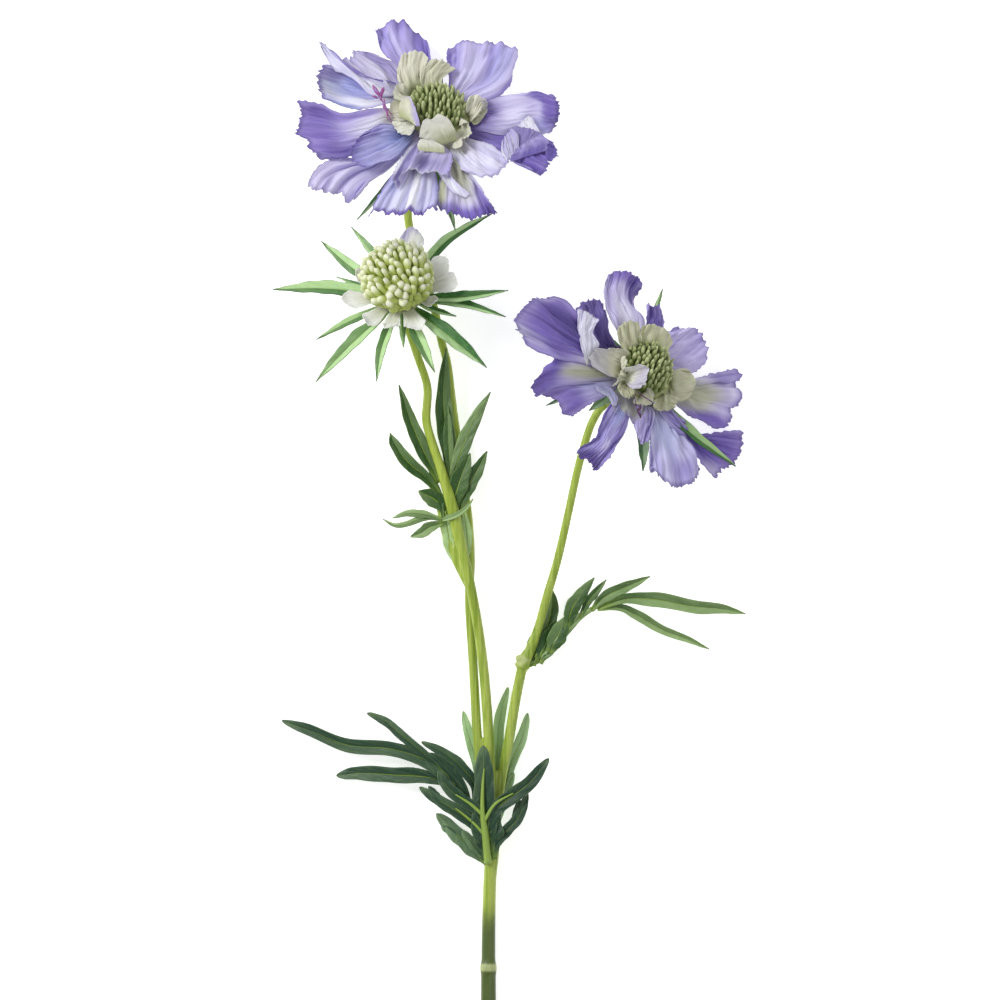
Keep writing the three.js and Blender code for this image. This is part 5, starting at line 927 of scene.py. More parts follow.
def edged_petal(petal, layer, rng, u, v, frill, tooth):
    """Points of a petal drawn by its edges, pleated, frilled and toothed, and its pleats."""
    right, tip, left = petal.right, petal.tip, petal.left
    foot = [right[0], left[0]]
    if petal.foot:
        azimuth, width = petal.foot
        turn = math.degrees(width / 2 / layer["radius"])
        foot = [polar(layer["radius"], azimuth + side * turn, layer["height"])
                for side in (-1, 0, 1)]
        right, left = [foot[0], *right], [foot[-1], *left]
    points = patch(foot, [*right, tip[0]], tip, [*left, tip[-1]], u, v)
    middle = points[:, u.shape[1] // 2]
    length = np.linalg.norm(middle[-1] - middle[0])
    breadth = np.linalg.norm(np.subtract(tip[0], tip[-1]))
    points = toothed(points, length, breadth, rng, u, v, tooth)
    folds = layer["pleat"] * pleated(petal.folds, u) * smooth(v / 0.6)
    margin = smooth((v - 0.6) / 0.4) + 0.6 * np.abs(u) ** 4 * smooth(v / 0.6)
    uneven = 0.6 + 0.6 * Waves(rng, [1.1, 1.9])(u + v)
    frills = frill * margin * uneven * Waves(rng, [4.3, 7.5])(u + 0.25 * v)
    frills = frills + 0.6 * frill * Waves(rng, [1.7, 2.9])(1.6 * v + u) * smooth(v / 0.4)
    veins = 0.045 * Waves(rng, [13, 19, 26])(u + 0.1 * v * v) * smooth(v / 0.25)
    crumple = Waves(rng, [2.7, 4.1, 6.3])(1.3 * u + 1.1 * v) * Waves(rng, [3.1, 5.3])(v - 0.8 * u)
    crumple = layer["crumple"] * min(length / CRUMPLED_LENGTH, 1) * crumple
    veins = veins + crumple * smooth(v / 0.3)
    return points + facing(points) * (folds + frills + veins)[..., None], folds


def rim_petal(row, layer, rng, u, v, frill, tooth):
    """Points of a rim petal, whose claw widens to a blunt, ruffled edge, and its waves."""
    azimuth, reach, width, lift, arch, cup, ruffle = row
    radius, height = layer["radius"], layer["height"]
    peak = max(radius + (reach - radius) * layer["peak"], radius + 4)
    start = polar(radius, azimuth, height)
    middle = polar(peak, azimuth, (height + lift) / 2 + arch)
    end = polar(reach, azimuth, lift)
    length = np.linalg.norm(end - start)
    teeth = Teeth(rng, width, 0.95, 5)(u) * tooth / length
    lobes = layer["lobe"] * np.cos(math.pi * (u + 1))
    along = v * (1 - layer["blunt"] * u * u + lobes * v * v) + teeth * v ** 8
    t = along[..., None]
    points = (1 - t) ** 2 * start + 2 * t * (1 - t) * middle + t * t * end
    c = np.clip(t, 0, 1)
    forward = unit((1 - c) * (middle - start) + c * (end - middle))
    tangential = polar(1, azimuth + 90, 0)
    side = unit(tangential - dot(forward, tangential) * forward)
    up = np.cross(forward, side)
    edge_teeth = Teeth(rng, length, 0.6, 4)(2 * v - 1) * np.abs(u) ** 9
    half = width / 2 * (layer["claw"] + (1 - layer["claw"]) * smooth(along / 0.65))
    half = half + edge_teeth * tooth * 0.7 * smooth(v / 0.5)
    wave = ruffle * np.sin(math.pi * u + math.radians(azimuth * 7)) * v * v
    margin = smooth((v - 0.5) / 0.5) + 0.5 * np.abs(u) ** 3 * smooth(v / 0.6)
    wave = wave + frill * margin * Waves(rng, [4.2, 6.5])(u + 0.25 * v)
    wave = wave + 0.35 * frill * Waves(rng, [3, 5])(2 * v + u) * smooth(v / 0.4)
    pleats = 0.05 * Waves(rng, [13, 19, 26])(u) * smooth(v / 0.25) * (1 - 0.5 * v)
    lift_across = cup * half * u * u + wave + pleats
    return points + side * (half * u)[..., None] + up * lift_across[..., None], wave


def lance(v, blunt):
    """Half the breadth of a blade along it, as a share of its widest place."""
    peak = 0.42
    rising = 0.4 + 0.6 * smooth(v / peak)
    falling = 1 - (np.maximum(v - peak, 0) / (1 - peak)) ** (2 + blunt)
    return np.where(v < peak, rising, falling ** (1 - 0.45 * blunt))


def blade_surface(points, width, fold, rng, u, v, blunt):
    """Points of a leaf lobe or bract about its midrib, its halves folded up."""
    line = Midrib(points)
    forward = line.along(v)
    side = -unit(np.cross(UP, forward))
    up = np.cross(side, forward)
    half = np.maximum(width / 2 * lance(v, blunt), 0.12)
    half = half * (1 + 0.06 * Waves(rng, [2.5, 4])(v * 2 + 0.2 * u) * np.abs(u))
    rise = half * np.sqrt(u * u + 0.01) * math.tan(math.radians(fold))
    wave = 0.05 * width * Waves(rng, [3, 5])(2 * v + 0.4 * u) * np.abs(u)
    groove = -0.05 * width * np.exp(-(u / 0.12) ** 2) * (1 - v)
    lift = rise + wave + groove
    return line.at(v) + side * (-half * u)[..., None] + up * lift[..., None]


# ---- meshes ----


class Piece:
    """Gathers points, faces and values per point, and becomes one object."""

    def __init__(self):
        self.points = []
        self.quads = []
        self.values = {}
        self.count = 0

    def add(self, points, quads, **values):
        """Takes in points, faces that number them from 0, and values, one or per point."""
        points = np.asarray(points, float).reshape(-1, 3)
        self.points.append(points)
        self.quads.append(np.asarray(quads, int) + self.count)
        for name, value in values.items():
            spread = np.broadcast_to(np.asarray(value, float), (len(points),))
            self.values.setdefault(name, []).append(spread)
        self.count += len(points)

    def add_sheet(self, points, thickness, u, v, **values):
        """A thin slab about a grid of points, thinner towards its free edges."""
        taper = 1 - 0.6 * np.maximum(np.abs(u) ** 6, v ** 6)
        offset = facing(points) * (thickness / 2 * taper)[..., None]
        both = np.concatenate([(points + offset).reshape(-1, 3),
                               (points - offset).reshape(-1, 3)])
        spread = {name: np.tile(np.broadcast_to(value, u.shape).ravel(), 2)
                  for name, value in values.items()}
        self.add(both, sheet_quads(*u.shape), across=np.tile(u.ravel(), 2),
                 along=np.tile(v.ravel(), 2), **spread)

    def add_rings(self, rings, **values):
        """A body from rings of points, closed where its first and last rings shrink to a point."""
        count, sides = rings.shape[:2]
        first = np.arange(count - 1)[:, None] * sides + np.arange(sides)
        turned = np.arange(count - 1)[:, None] * sides + np.roll(np.arange(sides), -1)
        quads = np.stack([first, turned, turned + sides, first + sides], axis=-1)
        self.add(rings, quads.reshape(-1, 4), **values)

    def place(self, head):
        """Moves everything gathered so far from a head's frame to the plan."""
        axes, middle = head_frame(head)
        self.points = [p @ axes + middle for p in self.points]

    def build(self, name, finish, replaced):
        """One object of all that was gathered, in the place of a solid node."""
        points = (np.concatenate(self.points) - LAYOUT_CENTRE) * MM
        points[:, 2] = np.maximum(points[:, 2], 0)
        quads = np.concatenate(self.quads)
        mesh = bpy.data.meshes.new(name)
        mesh.vertices.add(len(points))
        mesh.vertices.foreach_set("co", points.ravel())
        mesh.loops.add(quads.size)
        mesh.loops.foreach_set("vertex_index", quads.ravel())
        mesh.polygons.add(len(quads))
        mesh.polygons.foreach_set("loop_start", np.arange(len(quads)) * 4)
        mesh.polygons.foreach_set("use_smooth", np.ones(len(quads), bool))
        mesh.update(calc_edges=True)
        for value_name, parts in self.values.items():
            layer = mesh.attributes.new(value_name, "FLOAT", "POINT")
            layer.data.foreach_set("value", np.concatenate(parts).astype(np.float32))
        mesh.materials.append(finish)
        piece = bpy.data.objects.new(name, mesh)
        bpy.context.scene.collection.objects.link(piece)
        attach(piece, "root")
        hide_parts(replaced)
        return piece


def grid(columns, rows, bunch):
    """Grids of u from -1 to 1 and v from 0 to 1, v set closer together towards 1."""
    v = 1 - (1 - np.linspace(0, 1, rows + 1)) ** bunch
    u = np.linspace(-1, 1, columns + 1)
    return np.meshgrid(u, v)


def sheet_quads(lines, span):
    """Faces of a slab whose upper and lower points follow each other, grid by grid."""
    a = (np.arange(lines - 1)[:, None] * span + np.arange(span - 1)).ravel()
    top = np.stack([a, a + span, a + span + 1, a + 1], axis=1)
    low = lines * span
    bottom = np.stack([a, a + 1, a + span + 1, a + span], axis=1) + low
    rim = np.concatenate([
        np.arange(lines - 1) * span,
        (lines - 1) * span + np.arange(span - 1),
        np.arange(lines - 1, 0, -1) * span + span - 1,
        np.arange(span - 1, 0, -1),
    ])
    after = np.roll(rim, -1)
    edge = np.stack([after, rim, rim + low, after + low], axis=1)
    return np.concatenate([top, bottom, edge])


def head_frame(name):
    """Rows right, upper and axis of a head, and its middle, in the plan."""
    head = HEADS[name]
    tilt, turn = math.radians(head["lean"]), math.radians(head["toward"])
    axis = np.array([math.sin(tilt) * math.cos(turn), math.sin(tilt) * math.sin(turn),
                     math.cos(tilt)])
    right = unit(np.array([1.0, 0, 0]) - axis * axis[0])
    return np.stack([right, np.cross(axis, right), axis]), np.array(head["at"], float)


def turned_rings(profile, sides, ridge=0, ridges=0):
    """Rings about a head's axis through rows of radius and height, ridged by a share."""
    angle = np.linspace(0, 2 * math.pi, sides, endpoint=False)
    profile = np.asarray(profile, float)
    radius = profile[:, :1] * (1 + ridge * np.cos(ridges * angle))
    height = np.repeat(profile[:, 1:], sides, axis=1)
    return np.stack([radius * np.cos(angle), radius * np.sin(angle), height], axis=-1)


def rounded(profile, parts):
    """Rows of radius and height along a smooth curve, so many to each row of a profile."""
    line = Midrib([(r, 0, h) for r, h in profile])
    points = line.at(np.linspace(0, 1, (len(profile) - 1) * parts + 1))
    return [(max(r, 0), h) for r, _, h in points]


def dome_core(dome, foot, share):
    """Rings of the closed core under a dome of florets, from the height of its foot."""
    profile = [(0, foot)] + [(r * share, foot + (h - foot) * share) for r, h in dome]
    return turned_rings(rounded(profile, 3), 32)


# ---- finishes ----


class Wire:
    """An output of a finish's nodes. Arithmetic on it adds Math nodes."""

    def __init__(self, finish, socket):
        self.finish = finish
        self.socket = socket

    def maths(self, operation, *values):
        return self.finish.node("ShaderNodeMath", {"operation": operation},
                                dict(enumerate(values)))

    def __add__(self, other):
        return self.maths("ADD", self, other)

    __radd__ = __add__

    def __sub__(self, other):
        return self.maths("SUBTRACT", self, other)

    def __rsub__(self, other):
        return self.maths("SUBTRACT", other, self)

    def __mul__(self, other):
        return self.maths("MULTIPLY", self, other)

    __rmul__ = __mul__

    def __abs__(self):
        return self.maths("ABSOLUTE", self)

    def larger(self, other):
        return self.maths("MAXIMUM", self, other)

    def step(self, low, high):
        """0 below low, 1 above high, and a smooth rise between them."""
        return self.finish.node(
            "ShaderNodeMapRange", {"interpolation_type": "SMOOTHSTEP"},
            {"Value": self, "From Min": low, "From Max": high})


class Finish:
    """A material, and the few ways in which its nodes are made."""

    def __init__(self, name, **constants):
        self.material = bpy.data.materials.new(name)
        self.material.use_nodes = True
        self.tree = self.material.node_tree
        self.shader = self.tree.nodes["Principled BSDF"]
        for socket, value in constants.items():
            self.shader.inputs[socket.replace("_", " ").title()].default_value = value

    def node(self, kind, settings=None, inputs=None, output=0):
        """A new node with its settings and inputs, as a wire from one of its outputs."""
        made = self.tree.nodes.new(kind)
        for name, value in (settings or {}).items():
            setattr(made, name, value)
        for name, value in (inputs or {}).items():
            if isinstance(value, Wire):
                self.tree.links.new(value.socket, made.inputs[name])
            else:
                made.inputs[name].default_value = value
        return Wire(self, made.outputs[output])

    def values(self, *names):
        """Wires from the values that the mesh's points carry."""
        return [self.node("ShaderNodeAttribute", {"attribute_name": name}, output="Fac")
                for name in names]

    def place(self):
        return self.node("ShaderNodeTexCoord", output="Object")

    def vector(self, x, y, z):
        return self.node("ShaderNodeCombineXYZ", None, {"X": x, "Y": y, "Z": z})

    def noise(self, vector, scale, detail, roughness=0.5):
        return self.node("ShaderNodeTexNoise", None, {
            "Vector": vector, "Scale": scale, "Detail": detail, "Roughness": roughness})

    def mix(self, factor, first, second):
        """A colour between first, at 0, and second, at 1, which are wires or colours."""
        first, second = (shade if isinstance(shade, Wire) else (*shade, 1)
                         for shade in (first, second))
        return self.node("ShaderNodeMix", {"data_type": "RGBA"},
                         {0: factor, 6: first, 7: second}, output=2)

    def bump(self, height, distance, strength):
        return self.node("ShaderNodeBump", None, {
            "Height": height, "Distance": distance, "Strength": strength})

    def done(self, **inputs):
        """The material, once these inputs of its shader are wired."""
        for name, wire in inputs.items():
            socket = self.shader.inputs[name.replace("_", " ").title()]
            self.tree.links.new(wire.socket, socket)
        return self.material


def tone(red, green, blue):
    """A colour from its eight-bit screen values, as linear light."""
    def linear(value):
        share = value / 255
        return share / 12.92 if share <= 0.04045 else ((share + 0.055) / 1.055) ** 2.4
    return (linear(red), linear(green), linear(blue))


def soft(finish):
    """Lets a little light through, as thin plant tissue does."""
    finish.shader.inputs["Subsurface Weight"].default_value = 0.18
    finish.shader.inputs["Subsurface Radius"].default_value = (1.0, 0.8, 0.9)
    finish.shader.inputs["Subsurface Scale"].default_value = 0.0012


def petal_finish(colours):
    """Lilac with streaks, veins and painted shade in its pleats, then the washes, then the darker
    rim.
    """
    finish = Finish("lilac_petal", roughness=0.6)
    soft(finish)
    across, along, seed, ridge = finish.values("across", "along", "seed", "ridge")
    depth, blue, fade = finish.values(*LOOKS["outer"])
    streaks = finish.noise(
        finish.vector(across * 4 + seed * 31, along * 0.9, seed * 13), 1.6, 3)
    veins = finish.noise(
        finish.vector(across * 22 + along * 2 + seed * 7, along * 1.6, seed * 5), 1.0, 2)
    cloud = finish.noise(
        finish.vector(across * 1.5 + seed * 40, along * 2.4, seed * 9), 1.3, 3)
    wander = (streaks - 0.5) * 0.7 + (cloud - 0.5) * 0.5
    # Painted shade: the pleats' valleys are painted deeper and bluer and their crests paler.
    pleat_shaded_tint = depth * (along * 0.3 + 0.8) + wander * 0.35 - ridge * 0.12
    body = finish.mix(pleat_shaded_tint.step(0.05, 0.8), colours.pale, colours.lilac)
    body = finish.mix((blue + wander * 0.5 - ridge * 0.1).step(0.1, 1.0), body,
                      colours.periwinkle)
    foot = (fade + wander * 0.2 - along).step(-0.12, 0.2)
    body = finish.mix(foot, body, colours.foot)
    shades = (colours.white, colours.olive, colours.periwinkle, colours.violet, colours.deep)
    # Each wash lays pigment, and a few lay painted shadow of neighbouring petals and stamens.
    for wash, shade in zip(finish.values(*WASH_TONES), shades):
        body = finish.mix((wash * (wander * 0.9 + 1)).step(0.02, 0.95), body, shade)
    lines = (veins - 0.5).step(0.04, 0.25) * along.step(0.1, 0.4) * (depth * 0.28 + 0.07)
    body = finish.mix(lines, body, colours.deep)
    rim = along.larger(abs(across) * along.step(0.15, 0.5)).step(0.955, 1.0)
    body = finish.mix(rim * (depth * 0.35 + 0.3), body, colours.deep)
    relief = veins * 0.3 + streaks * 0.5
    return finish.done(base_color=body, normal=finish.bump(relief, 0.0004, 0.6),
                       roughness=streaks * 0.15 + 0.52)


def cream_finish(colours):
    """Cream from a greenish foot, with painted shade in its creases, and whiter and lilac places."""
    finish = Finish("cream_petal", roughness=0.6)
    soft(finish)
    across, along, seed, ridge = finish.values("across", "along", "seed", "ridge")
    flush, greenness, white = finish.values(*LOOKS["inner"])
    streaks = finish.noise(
        finish.vector(across * 5 + seed * 31, along * 0.8, seed * 13), 1.6, 3)
    cloud = finish.noise(
        finish.vector(across * 1.5 + seed * 20, along * 2, seed * 3), 1.6, 3)
    green = (1 - (along + (cloud - 0.5) * 0.3).step(0.1, 0.75)).larger(
        (cloud * 1.3 - 0.15) * greenness)
    body = finish.mix(green, colours.cream, colours.cream_green)
    # Painted shade: the valleys of the pleats and ruffles are darkened with the cream shade.
    body = finish.mix((ridge * -1).step(0.0, 0.7) * 0.5, body, colours.cream_shade)
    body = finish.mix(white * (1 - green * 0.6), body, colours.cream_white)
    tip = (along + across * 0.25 + (cloud - 0.5) * 0.4).step(0.6, 1.0)
    body = finish.mix(tip * flush, body, colours.lilac)
    shade = (streaks - 0.5).step(0.0, 0.25) * 0.15
    body = finish.mix(shade, body, colours.cream_shade)
    return finish.done(base_color=body, normal=finish.bump(streaks, 0.0004, 0.7),
                       roughness=streaks * 0.15 + 0.5)


def floret_finish(name, foot, crown, mark, scale):
    """A floret's finish, from its foot to its crown, mottled, its tip marked."""
    finish = Finish(name, roughness=0.5)
    soft(finish)
    along, seed, round_ = finish.values("along", "seed", "round")
    mottle = finish.noise(finish.place(), scale, 3, 0.6)
    lift = along + (mottle - 0.5) * 0.3 + (seed - 0.5) * 0.2
    body = finish.mix(lift.step(0.4, 0.92), foot, crown)
    body = finish.mix((lift + seed * 0.3).step(0.85, 1.25) * 0.8, body, mark)
    cleft = (1 - round_).step(0.3, 0.8) * along.step(0.85, 0.98)
    body = finish.mix(cleft * 0.35, body, foot)
    return finish.done(base_color=body, normal=finish.bump(mottle, 0.0002, 0.6),
                       roughness=mottle * 0.2 + 0.4)


def leaf_finish(name):
    """A blade: mottled between pale and dark, one half lit by painted light, with its vein and edge.
    """
    tones, halves, edge = BLADES[name]
    pale, dark, spot, vein_colour, edge_colour = (tone(*shade) for shade in tones)
    finish = Finish(name, roughness=0.5)
    soft(finish)
    across, along, seed, depth = finish.values("across", "along", "seed", "depth")
    place = finish.place()
    mottle = finish.noise(place, 260, 4, 0.6)
    drift = finish.noise(place, 45, 2)
    cells = finish.noise(
        finish.vector(along * 16 - abs(across) * 3 + seed * 9, across * 2, seed), 1.0, 2)
    # Painted light and shade: one folded half, chosen by the seed, is painted lighter than the other.
    half = (across * (seed - 0.5).step(-0.02, 0.02) * 2 - across).step(-0.08, 0.08)
    tone_here = (depth + (drift - 0.5) * 0.5 - half * halves + (mottle - 0.5) * 0.2
                 + (0.5 - along) * 0.2)
    body = finish.mix(tone_here.step(0.0, 1.0), pale, dark)
    body = finish.mix((mottle - 0.5).step(0, 0.3) * 0.25, body, spot)
    side_veins = (cells - 0.5).step(0.02, 0.2) * 0.1
    body = finish.mix(side_veins, body, vein_colour)
    vein = (1 - (abs(across) + along * 0.08).step(0.03, 0.2)) * (1 - along * 0.7)
    body = finish.mix(vein * 0.9, body, vein_colour)
    body = finish.mix((1 - along.step(0.0, 0.22)) * 0.5, body, vein_colour)
    rim = abs(across).larger(along).step(0.88, 1.0)
    body = finish.mix(rim * edge, body, edge_colour)
    relief = cells * 0.4 + mottle * 0.4 - vein * 0.6
    return finish.done(base_color=body, normal=finish.bump(relief, 0.0004, 0.9),
                       roughness=mottle * 0.25 + 0.4)


def stamen_finish(colours):
    """Ripe at depth 0 and withered at depth 1, mottled with lilac."""
    finish = Finish("stamen", roughness=0.5)
    mottle = finish.noise(finish.place(), 700, 3)
    depth, = finish.values("depth")
    body = finish.mix(depth, colours.anther, colours.withered)
    body = finish.mix((mottle - 0.5).step(-0.05, 0.2) * 0.6, body, colours.lilac)
    return finish.done(base_color=body, normal=finish.bump(mottle, 0.0002, 0.8))


def stem_finish(colours):
    """Grained lengthwise, dark below the node and fresher upwards, with a ring and a scar."""
    finish = Finish("stem_skin", roughness=0.45)
    soft(finish)
    place = finish.place()
    x, y, z = (finish.node("ShaderNodeSeparateXYZ", None, {"Vector": place}, output=n)
               for n in "XYZ")
    grain = finish.noise(finish.vector(x * 900, y * 14, z * 900), 1.0, 3, 0.6)
    mottle = finish.noise(place, 90, 3, 0.6)
    low = 1 - (y + (mottle - 0.5) * 0.01).step(-0.108, -0.098)
    fresh = (y + (mottle - 0.5) * 0.02).step(-0.03, 0.05)
    body = finish.mix((grain - 0.5).step(-0.2, 0.2), colours.stem,
                      colours.stem_light)
    body = finish.mix(fresh * 0.35, body, colours.stem_fresh)
    body = finish.mix(low * 0.85, body, colours.stem_foot)
    ring = 1 - abs(y - STEM_RING).step(0.0006, 0.0016)
    scar_x, scar_y = STEM_SCAR
    scar = 1 - (abs(y - scar_y) + abs(x - scar_x) * 0.7).step(0.0012, 0.0026)
    body = finish.mix(ring.larger(scar) * 0.7, body, colours.stem_ring)
    return finish.done(base_color=body, normal=finish.bump(grain + mottle, 0.0005, 0.9),
                       roughness=mottle * 0.2 + 0.3)


# ---- sizes and colours that a user would change ----


class ScabiosaSizes(bpy.types.PropertyGroup):
    petal_thickness: FloatProperty(
        name="Petal thickness", description="Thickness of a petal at its middle",
        default=0.00028, min=0.0001, max=0.0006, precision=5, subtype="DISTANCE",
        unit="LENGTH")
    blade_thickness: FloatProperty(
        name="Leaf thickness", description="Thickness of leaves and bracts",
        default=0.00045, min=0.0002, max=0.0007, precision=5, subtype="DISTANCE",
        unit="LENGTH")
    frill: FloatProperty(
        name="Frill", description="Height of the small waves along a petal's edge",
        default=0.0006, min=0.0, max=0.002, precision=5, subtype="DISTANCE", unit="LENGTH")
    tooth: FloatProperty(
        name="Teeth", description="Height of the teeth along a petal's edge",
        default=0.0013, min=0.0, max=0.003, precision=5, subtype="DISTANCE", unit="LENGTH")
    button_florets: IntProperty(
        name="Button florets", description="Unopened florets in a bloom's button",
        default=104, min=20, max=200)
    bud_florets: IntProperty(
        name="Bud florets", description="Unopened florets of the budding head",
        default=144, min=20, max=260)


def colour(name, description, red, green, blue):
    return FloatVectorProperty(name=name, description=description, subtype="COLOR",
                               size=3, min=0.0, max=1.0, default=tone(red, green, blue))


class ScabiosaColours(bpy.types.PropertyGroup):
    white: colour("Petal white", "Pale stripes and bands of a lilac petal", 236, 236, 248)
    pale: colour("Pale lilac", "Palest body of a lilac petal", 214, 210, 240)
    lilac: colour("Lilac", "Body of a lilac petal", 154, 142, 204)
    violet: colour("Violet", "Edge of a lilac petal", 106, 88, 172)
    # Deep violet also serves as painted shadow in some of the petals' washes.
    deep: colour("Deep violet", "Folds and veins of the deepest petals", 68, 54, 128)
    periwinkle: colour("Periwinkle", "Petals with a blue cast", 142, 154, 208)
    olive: colour("Petal olive", "Greenish stripes of a lilac petal", 174, 178, 148)
    foot: colour("Petal foot", "Foot of a lilac petal", 206, 206, 202)
    cream: colour("Cream", "Inner petals", 209, 206, 188)
    cream_green: colour("Cream green", "Foot of the inner petals", 168, 174, 124)
    cream_white: colour("Cream white", "Palest of the inner petals", 243, 243, 240)
    # Painted shade, laid in the creases of the inner petals and along their streaks.
    cream_shade: colour("Cream shade", "Creases of the inner petals", 168, 162, 140)
    button_foot: colour("Button foot", "Foot of a button's floret", 106, 122, 62)
    button_crown: colour("Button crown", "Crown of a button's floret", 156, 166, 112)
    bud_foot: colour("Bud foot", "Foot of a bud's floret", 172, 186, 92)
    bud_crown: colour("Bud crown", "Crown of a bud's floret", 226, 230, 192)
    stem: colour("Stem", "Stem skin", 122, 148, 28)
    stem_light: colour("Stem light", "Light streaks of the stem", 172, 190, 84)
    stem_fresh: colour("Stem fresh", "Stem towards the heads", 168, 188, 52)
    stem_foot: colour("Stem foot", "Stem below its node", 44, 64, 18)
    stem_ring: colour("Stem ring", "Ring and scar at the stem's nodes", 190, 200, 140)
    anther: colour("Anther", "Ripe stamens of the larger bloom", 148, 66, 132)
    withered: colour("Withered stamen", "Spent stamens of the smaller bloom", 84, 44, 72)


# ---- builders of the single forms ----


def seeded(*words):
    """A generator of random numbers that is always the same for the same words."""
    return np.random.default_rng([sum(map(ord, str(word))) for word in words])


def tube_rings(rows, sides, scale=1, step=1.1):
    """Rings of a smooth tube through rows of x, y, z and radius, its ends closed."""
    rows = np.asarray(rows, float)
    line = Midrib(rows[:, :3])
    count = max(int(line.length() / step), 4)
    t = np.linspace(0, 1, count + 1)
    radius = np.interp(t, np.linspace(0, 1, len(rows)), rows[:, 3]) * scale
    forward = line.along(t)
    side = unit(np.cross(forward, UP))
    up = np.cross(side, forward)
    angle = np.linspace(0, 2 * math.pi, sides, endpoint=False)[None, :, None]
    rim = side[:, None] * np.cos(angle) - up[:, None] * np.sin(angle)
    rings = line.at(t)[:, None] + rim * radius[:, None, None]
    ends = line.at(np.array([0, 1]))
    first = np.repeat(ends[:1, None], sides, axis=1)
    last = np.repeat(ends[1:, None], sides, axis=1)
    return np.concatenate([first, rings, last])


def run_in(name, radius, heights):
    """Rows that lead a branch up into its head along the head's axis."""
    axes, middle = head_frame(name)
    rows = [np.array([0, 0, height]) @ axes + middle for height in heights]
    return [(*row, radius) for row in rows]


def stem_lines():
    return [
        TRUNK,
        SHEATH,
        COLLAR,
        SCAR,
        BRANCH_LEFT + run_in("bloom_1", 1.5, STEM_RUN_IN),
        BRANCH_MIDDLE + run_in("bud", 1.4, STEM_RUN_IN[1:]),
        BRANCH_RIGHT + run_in("bloom_2", 1.5, STEM_RUN_IN),
    ]


def welded(piece, voxel, smoothing):
    """One skin round a piece's overlapping bodies, smoothed where they meet."""
    remesh = piece.modifiers.new("skin", "REMESH")
    remesh.mode = "VOXEL"
    remesh.voxel_size = voxel
    remesh.use_smooth_shade = True
    relax = piece.modifiers.new("relax", "SMOOTH")
    relax.factor = 0.5
    relax.iterations = smoothing
    bpy.context.view_layer.update()
    graph = bpy.context.evaluated_depsgraph_get()
    skin = bpy.data.meshes.new_from_object(piece.evaluated_get(graph))
    piece.modifiers.clear()
    rough = piece.data
    piece.data = skin
    bpy.data.meshes.remove(rough)
    places = np.empty(len(skin.vertices) * 3)
    skin.vertices.foreach_get("co", places)
    places = places.reshape(-1, 3)
    places[:, 2] = np.maximum(places[:, 2], 0)
    skin.vertices.foreach_set("co", places.ravel())
    skin.update()


def washed(washes, wash_tone, u, v):
    """How strongly one wash tone, pigment or painted shadow, lies on a petal, from its soft oval
    washes.
    """
    bare = np.ones_like(u)
    for name, across, along, breadth, length, strength in washes:
        if name == wash_tone:
            far = ((u - across) / breadth) ** 2 + ((v - along) / length) ** 2
            bare = bare * (1 - strength * np.exp(-far ** 1.5))
    return 1 - bare


def petals(piece, rows, looks, layer_name, name, sizes):
    """Petals of one layer, each from its row and with its look."""
    layer = LAYERS[layer_name]
    columns, lines = layer["grid"]
    surface = rim_petal if layer_name == "rim" else edged_petal
    for k, (row, look) in enumerate(zip(rows, looks)):
        rng = seeded(name, k * 7 + 1)
        fold = surface is edged_petal and not row.foot
        u, v = grid(columns // 2, lines - 8, 1.5) if fold else grid(columns, lines, 1.5)
        frill = layer["frill"] * (FOLD_FRILL if fold else 1)
        points, ridge = surface(row, layer, rng, u, v, sizes.frill / MM * frill,
                                sizes.tooth / MM * min(frill, 1))
        if layer_name == "outer":
            look.update({p: washed(row.washes, p, u, v) for p in WASH_TONES})
        piece.add_sheet(points, sizes.petal_thickness / MM, u, v, seed=rng.uniform(),
                        ridge=ridge, **look)


def edged_petals(piece, rows, layer_name, name, sizes):
    """Petals from rows that are written as a Petal, with the looks that these hold."""
    rows = [Petal(*row) for row in rows]
    looks = [dict(zip(LOOKS[layer_name], row.look)) for row in rows]
    petals(piece, rows, looks, layer_name, name, sizes)


def floret_rings(base, lean, turn, length, girth, lobing, rng):
    """Rings of one floret that leans from its base, a little lobed, bent and flattened."""
    angle = np.linspace(0, 2 * math.pi, FLORET_SIDES, endpoint=False)
    side = unit(np.cross(lean, polar(1, turn + 90, 0.01)))
    other = np.cross(lean, side)
    lobed = 1 + lobing * (np.cos(4 * angle + rng.uniform(0, 6))[None, :]
                          * (FLORET_HEIGHTS > 0.7)[:, None])
    ring = FLORET_WIDTHS[:, None] * lobed * girth
    bend = polar(rng.uniform(0, 0.5), rng.uniform(0, 360), 0) * girth
    foot = base - lean * length * 0.4
    return (foot + lean * (FLORET_HEIGHTS * length)[:, None, None]
            + bend * (FLORET_HEIGHTS ** 2)[:, None, None]
            + side * (ring * np.cos(angle))[..., None]
            + other * (ring * np.sin(angle))[..., None] * rng.uniform(0.75, 1))


